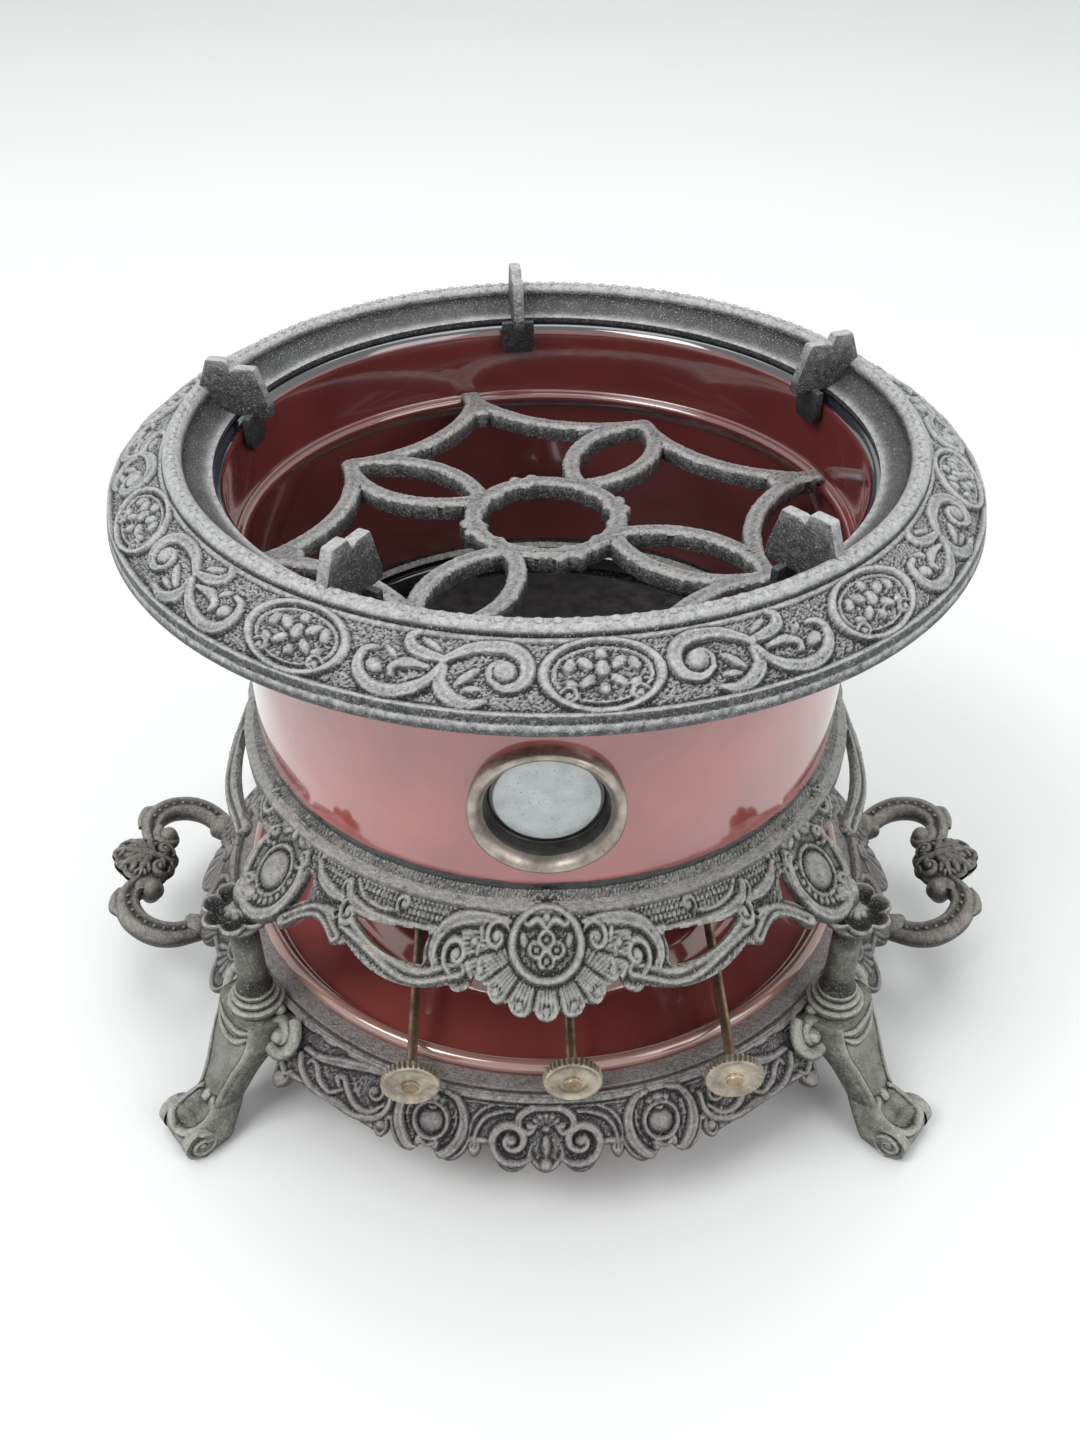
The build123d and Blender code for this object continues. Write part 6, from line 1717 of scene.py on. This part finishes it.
def build_columns(sizes):
    """The four columns, whose profile follows the radius of the foot collar."""
    foot = sizes.post_radius / MM
    profile = [(58.05, foot - 0.5), (58.6, foot), (60.2, foot), (60.9, foot - 0.7),
               (61.2, foot - 2.2), (61.9, foot - 1.8), (63.3, foot - 1.8), (63.9, foot - 2.4),
               (64.2, foot - 3.9), (65.0, foot - 3.5), (66.4, foot - 3.5), (67.2, foot - 4.2),
               (68.6, 6.5), (72, 6.15), (80, 6.0), (92, 5.8), (99.5, 5.7), (100.5, 6.0),
               (101.4, 7.0), (102.4, 7.4), (103.6, 7.3), (104.6, 6.6), (105.4, 6.9),
               (106.2, 8.2), (107.4, 8.4), (107.95, 8.0)]
    mesh = bpy.data.meshes.new("post_axis")
    edges = [(k, k + 1) for k in range(len(profile) - 1)]
    mesh.from_pydata([(0, 0, z * MM) for z, _ in profile], edges, [])
    keep_values(mesh, "reach", [r * MM for _, r in profile])
    obj = grown("columns", post_tree(finishes().leg_iron), {
        "Circle": COLUMN_CIRCLE * MM, "Spread": math.radians(COLUMN_TURN), "Around": 48}, mesh)
    heights = np.array([v.co.z for v in obj.data.vertices])
    keep_values(obj.data, "relief", np.where((heights < 0.0675) | (heights > 0.1055), 1.3, 0.5))
    crisp(obj, 35)
    dress(obj, finishes().leg_iron, "stand",
          [f"column_{name}" for name, _ in LEG_AZIMUTHS])


# Tank

TANK_SHEET = 1.0
RIM_RADIUS = 2.95


def build_tank():
    """The deck with its well, the rolled rim and the bowl."""
    red = finishes().tank_red
    top = rounded_path([(0, 63.5), (88, 63.5), (93.5, 55.5), (125.4, 55.5), (125.4, 58.5),
                        (130.8, 58.5)], (4, 4, 1.2, 1.2), steps=6, stride=8)[::-1]
    pan = rounded_path([(0, 22.5), (127, 22.5), (127, 57.5), (132.3, 57.5)], (5, 1.5), steps=8,
                       stride=9)
    make_piece("tank_deck", turned_sheet(top, TANK_SHEET, 360), red, "stand",
               ("tank_top",), sharp=50)
    count, around = 480, 24
    angle = np.radians(np.arange(0, 360, 360 / around))
    circle = np.stack([130.8 + RIM_RADIUS * np.cos(angle), 61 + RIM_RADIUS * np.sin(angle)], 1)
    turn = full_turn(count)
    wave = 0.06 * np.sin(7 * turn) + 0.05 * np.sin(19 * turn + 1) + 0.03 * np.sin(43 * turn)
    verts, faces, _ = closed_revolve(circle, count, np.tile(wave - 0.1, (around, 1)))
    make_piece("tank_rim", (verts, faces, None), finishes().rim_copper, "stand",
               sharp=60)
    make_piece("tank_bowl", turned_sheet(pan, TANK_SHEET, 360), red, "stand",
               ("tank_pan",), sharp=50)


# Burners, winders and filler

WICKS = (("left", -60.4), ("middle", 0.0), ("right", 60.4))
TANK_TURN = 1.5  # the tank sits turned by this, with its burners
KNOB_PLACE = (6.1, 69.7)  # aside of its wick, and up
FILLER_PLACE = (-2.893, 110.462, 0)


def build_wicks():
    """Woven strips with a ribbed face and a charred, uneven top edge."""
    rng = np.random.default_rng(5)
    rows, around = 70, 132
    turn = full_turn(around)
    y = squared_off(np.sin(turn), 0.35) * 32.7
    x = squared_off(np.cos(turn), 0.45) * 1.72
    rib = 0.16 * np.cos(y * 2 * math.pi / 2.2)
    z = np.linspace(28.2, 130.2, rows)[:, None]
    weave = 0.07 * np.cos(z * 2 * math.pi / 2.9)
    top = np.arange(rows)[:, None] == rows - 1
    for name, place in WICKS:
        ragged = rng.normal(0, 0.28, around) * top
        grid = np.stack([
            place + (x + np.sign(x) * rib)[None, :] + weave * np.sign(x)[None, :],
            np.broadcast_to(y, (rows, around)),
            z + ragged,
        ], -1).reshape(-1, 3)
        made = (turned_about_z(grid, TANK_TURN), capped_faces(rows, around), None)
        make_piece(f"wick_tape_{name}", made, finishes().wick, f"wick_{name}",
                   (f"wick_{name}",), sharp=70)


def build_knobs(sizes):
    """Dished brass knobs with a knurled edge and the rivet end of the spindle."""
    profile = np.array([
        (0, 138.6), (3.5, 138.6), (4.15, 139.1), (4.2, 141.3), (5.2, 141.6), (10.2, 141.6),
        (10.9, 141.8), (11.2, 142.2), (11.25, 143.0), (11.25, 144.2), (11.2, 144.9),
        (10.9, 145.3), (10.2, 145.48), (9.7, 145.4), (9.0, 144.95), (7.4, 144.75),
        (5.9, 144.9), (5.2, 145.3), (4.6, 145.42), (3.4, 145.42), (3.4, 145.9), (2.9, 146.35),
        (1.6, 146.6), (0, 146.62)])
    count = sizes.knurls * 8
    wave = (0.5 - 0.5 * np.cos(full_turn(count) * sizes.knurls)) ** 0.7
    wall = np.clip((profile[:, 0] - 10.7) / 0.5, 0, 1)[:, None]
    verts, faces, _ = revolved(profile, count, -sizes.knurl_depth / MM * wall * wave)
    for name, place in WICKS:
        stood = facing_front(verts, (place + KNOB_PLACE[0], KNOB_PLACE[1]), TANK_TURN)
        make_piece(f"knob_turned_{name}", (stood, faces, None), finishes().brass,
                   f"winder_{name}", (f"knob_{name}",), sharp=40)


def build_filler():
    """The knurled brass cap at the back of the tank."""
    profile = np.array([
        (11.85, 60.5), (13.5, 60.6), (13.9, 61.0), (13.95, 62.0), (13.95, 67.6), (13.7, 68.9),
        (12.8, 69.6), (10.6, 69.75), (9.8, 70.0), (9.2, 70.9), (8.4, 71.1), (0, 71.05),
        (0, 67.65), (11.85, 67.6)])
    turn = full_turn(240)
    wall = ((profile[:, 0] > 13.4) & (profile[:, 1] < 69)).astype(float)[:, None]
    knurl = -0.7 * wall * (0.5 - 0.5 * np.cos(24 * turn))
    verts, faces, _ = closed_revolve(profile, 240, knurl)
    made = (verts + np.array(FILLER_PLACE), faces, None)
    make_piece("filler_cap_turned", made, finishes().brass, "filler_cap",
               ("filler_cap",), sharp=40)


def finish_solids():
    """Gives the solids that stay visible their finish."""
    made = finishes()
    for material, nodes in (
            (made.burnt, ("flame_plate",)),
            (made.tube_brass, ("draught_gallery", "wick_tube_left", "wick_tube_middle",
                               "wick_tube_right")),
            (made.rod, ("spindle_left", "spindle_middle", "spindle_right")),
            (made.brass, ("gland_left", "gland_middle", "gland_right", "filler_neck")),
            (made.bezel_brass, ("window_retainer",)),
            (made.cork, ("filler_gasket",)),
            (made.steel, ("tie_bolts", "leg_bolts", "handle_bolts"))):
        for node in nodes:
            add_material(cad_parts[node], material)


# Stage: floor, backdrop, lights and camera

FLOOR_REACH = 3.0
AIM = (0, 0, 0.15)
LIGHTS = (("key_light", (-1.3, -0.9, 2.3), 1.2, 34), ("fill_light", (1.7, -1.2, 1.7), 1.5, 16),
          ("top_light", (0.0, 0.7, 2.9), 2.0, 30))  # name, place, size and power


def build_floor(tones):
    """The floor, wide enough to be its own backdrop."""
    paint = Recipe("floor_paint")
    tone = tuple(tones.floor)
    speck = paint.mix(paint.spread(paint.noise(3, 2.0), 0.3, 0.7), tone, scaled(tone, 0.985))
    corners = [(x * FLOOR_REACH, y * FLOOR_REACH, 0)
               for x, y in ((-1, -1), (1, -1), (1, 1), (-1, 1))]
    mesh = bpy.data.meshes.new("floor")
    mesh.from_pydata(corners, [], [(0, 1, 2, 3)])
    ground = placed("floor", mesh)
    add_material(ground, paint.finish(speck, 0.6))


def build_world():
    """Soft light on the stove, and white for the camera, for glass and for what shines."""
    world = bpy.data.worlds.new("studio")
    bpy.context.scene.world = world
    world.use_nodes = True
    sky = NodeTree(world.node_tree)
    soft = sky.put("ShaderNodeBackground", {0: (0.95, 0.98, 1.0, 1), 1: 0.54})
    white = sky.put("ShaderNodeBackground", {0: (0.93, 0.98, 0.96, 1)})
    path = sky.node("ShaderNodeLightPath")
    seen = path.outputs["Is Camera Ray"]
    for kind in ("Is Glossy Ray", "Is Transmission Ray"):
        seen = sky.sum("MAXIMUM", seen, path.outputs[kind])
    choose = sky.put("ShaderNodeMixShader", {0: seen, 1: soft, 2: white})
    sky.node("ShaderNodeOutputWorld", {0: choose})


def build_stage(tones):
    """Floor, world, lights and the photo's viewpoint."""
    build_floor(tones)
    build_world()
    for name, place, size, power in LIGHTS:
        lamp = bpy.data.lights.new(name, "AREA")
        lamp.size = size
        lamp.energy = power
        obj = placed(name, lamp)
        obj.location = place
        obj.rotation_euler = (Vector(AIM) - obj.location).to_track_quat("-Z", "Y").to_euler()
    data = bpy.data.cameras.new("viewpoint")
    data.lens = 33.5
    data.sensor_width = 36
    data.clip_start = 0.01
    eye = placed("viewpoint", data)
    eye.location = (-0.00232, -0.45456, 0.4829)
    eye.rotation_euler = (math.radians(51.99), 0, 0)
    bpy.context.scene.camera = eye
    bpy.context.scene.view_settings.view_transform = "Standard"


# Operators: one for each piece or group of like pieces

class PieceOperator:
    """Shared layout: the work is in build, which raises where a piece can't be made."""
    bl_options = {"REGISTER", "UNDO"}

    def execute(self, context):
        self.build(context.scene)
        return {"FINISHED"}


class STOVE_OT_stage(PieceOperator, bpy.types.Operator):
    """Builds the floor, the lights and the camera"""
    bl_idname = "stove.stage"
    bl_label = "Stage"

    def build(self, scene):
        build_stage(scene.stove_tones)


class STOVE_OT_top_ring(PieceOperator, bpy.types.Operator):
    """Builds the top ring with its relief band, beads, lugs and tongues"""
    bl_idname = "stove.top_ring"
    bl_label = "Top Ring"

    def build(self, scene):
        build_ring_band(scene.stove_relief)
        build_ring_core()
        build_lugs()
        build_ring_beads(scene.stove_relief)


class STOVE_OT_grate(PieceOperator, bpy.types.Operator):
    """Builds the loose cast grate"""
    bl_idname = "stove.grate"
    bl_label = "Grate"

    def build(self, scene):
        build_grate()


class STOVE_OT_drum(PieceOperator, bpy.types.Operator):
    """Builds the enamelled drum"""
    bl_idname = "stove.drum"
    bl_label = "Drum"

    def build(self, scene):
        build_drum(scene.stove_relief)


class STOVE_OT_window(PieceOperator, bpy.types.Operator):
    """Builds the window's dished rim and its pane"""
    bl_idname = "stove.window"
    bl_label = "Window"

    def build(self, scene):
        build_window()


class STOVE_OT_upper_frame(PieceOperator, bpy.types.Operator):
    """Builds the pierced apron, the drum's seat and the cups"""
    bl_idname = "stove.upper_frame"
    bl_label = "Upper Frame"

    def build(self, scene):
        build_apron("front")
        build_apron("rear")
        build_frame_seat()
        build_cups()


class STOVE_OT_columns(PieceOperator, bpy.types.Operator):
    """Builds the four turned columns"""
    bl_idname = "stove.columns"
    bl_label = "Columns"

    def build(self, scene):
        build_columns(scene.stove_relief)


class STOVE_OT_base_ring(PieceOperator, bpy.types.Operator):
    """Builds the base ring's flange and its carved face"""
    bl_idname = "stove.base_ring"
    bl_label = "Base Ring"

    def build(self, scene):
        build_base_flange()
        build_base_half("front")
        build_base_half("rear")


class STOVE_OT_legs(PieceOperator, bpy.types.Operator):
    """Builds the four legs"""
    bl_idname = "stove.legs"
    bl_label = "Legs"

    def build(self, scene):
        build_legs()


class STOVE_OT_handles(PieceOperator, bpy.types.Operator):
    """Builds the two scrolled handles with their pearls"""
    bl_idname = "stove.handles"
    bl_label = "Handles"

    def build(self, scene):
        build_handles(scene.stove_relief)


class STOVE_OT_tank(PieceOperator, bpy.types.Operator):
    """Builds the oil tank's bowl, deck and rolled rim"""
    bl_idname = "stove.tank"
    bl_label = "Tank"

    def build(self, scene):
        build_tank()


class STOVE_OT_burners(PieceOperator, bpy.types.Operator):
    """Builds the wicks and finishes the solids that stay visible"""
    bl_idname = "stove.burners"
    bl_label = "Burners"

    def build(self, scene):
        build_wicks()
        finish_solids()


class STOVE_OT_knobs(PieceOperator, bpy.types.Operator):
    """Builds the three knobs"""
    bl_idname = "stove.knobs"
    bl_label = "Knobs"

    def build(self, scene):
        build_knobs(scene.stove_relief)


class STOVE_OT_filler(PieceOperator, bpy.types.Operator):
    """Builds the filler cap"""
    bl_idname = "stove.filler"
    bl_label = "Filler Cap"

    def build(self, scene):
        build_filler()


OPERATORS = (
    STOVE_OT_stage, STOVE_OT_top_ring, STOVE_OT_grate, STOVE_OT_drum, STOVE_OT_window,
    STOVE_OT_upper_frame, STOVE_OT_columns, STOVE_OT_base_ring, STOVE_OT_legs, STOVE_OT_handles,
    STOVE_OT_tank, STOVE_OT_burners, STOVE_OT_knobs, STOVE_OT_filler,
)


class STOVE_PT_pieces(bpy.types.Panel):
    """Lists the stove's settings and the pieces that can be built"""
    bl_idname = "STOVE_PT_pieces"
    bl_label = "Oil Stove"
    bl_space_type = "VIEW_3D"
    bl_region_type = "UI"
    bl_category = "Oil Stove"

    def draw(self, context):
        for group in (context.scene.stove_tones, context.scene.stove_relief):
            for key in group.__annotations__:
                self.layout.prop(group, key)
        for operator in OPERATORS:
            self.layout.operator(operator.bl_idname)


CLASSES = (StoveTones, ReliefSizes) + OPERATORS + (STOVE_PT_pieces,)


def register():
    for cls in CLASSES:
        bpy.utils.register_class(cls)
    bpy.types.Scene.stove_tones = bpy.props.PointerProperty(type=StoveTones)
    bpy.types.Scene.stove_relief = bpy.props.PointerProperty(type=ReliefSizes)


def unregister():
    del bpy.types.Scene.stove_relief
    del bpy.types.Scene.stove_tones
    for cls in reversed(CLASSES):
        bpy.utils.unregister_class(cls)


def main():
    register()
    for operator in OPERATORS:
        group, call = operator.bl_idname.split(".")
        getattr(getattr(bpy.ops, group), call)()


if __name__ == "__main__":
    main()
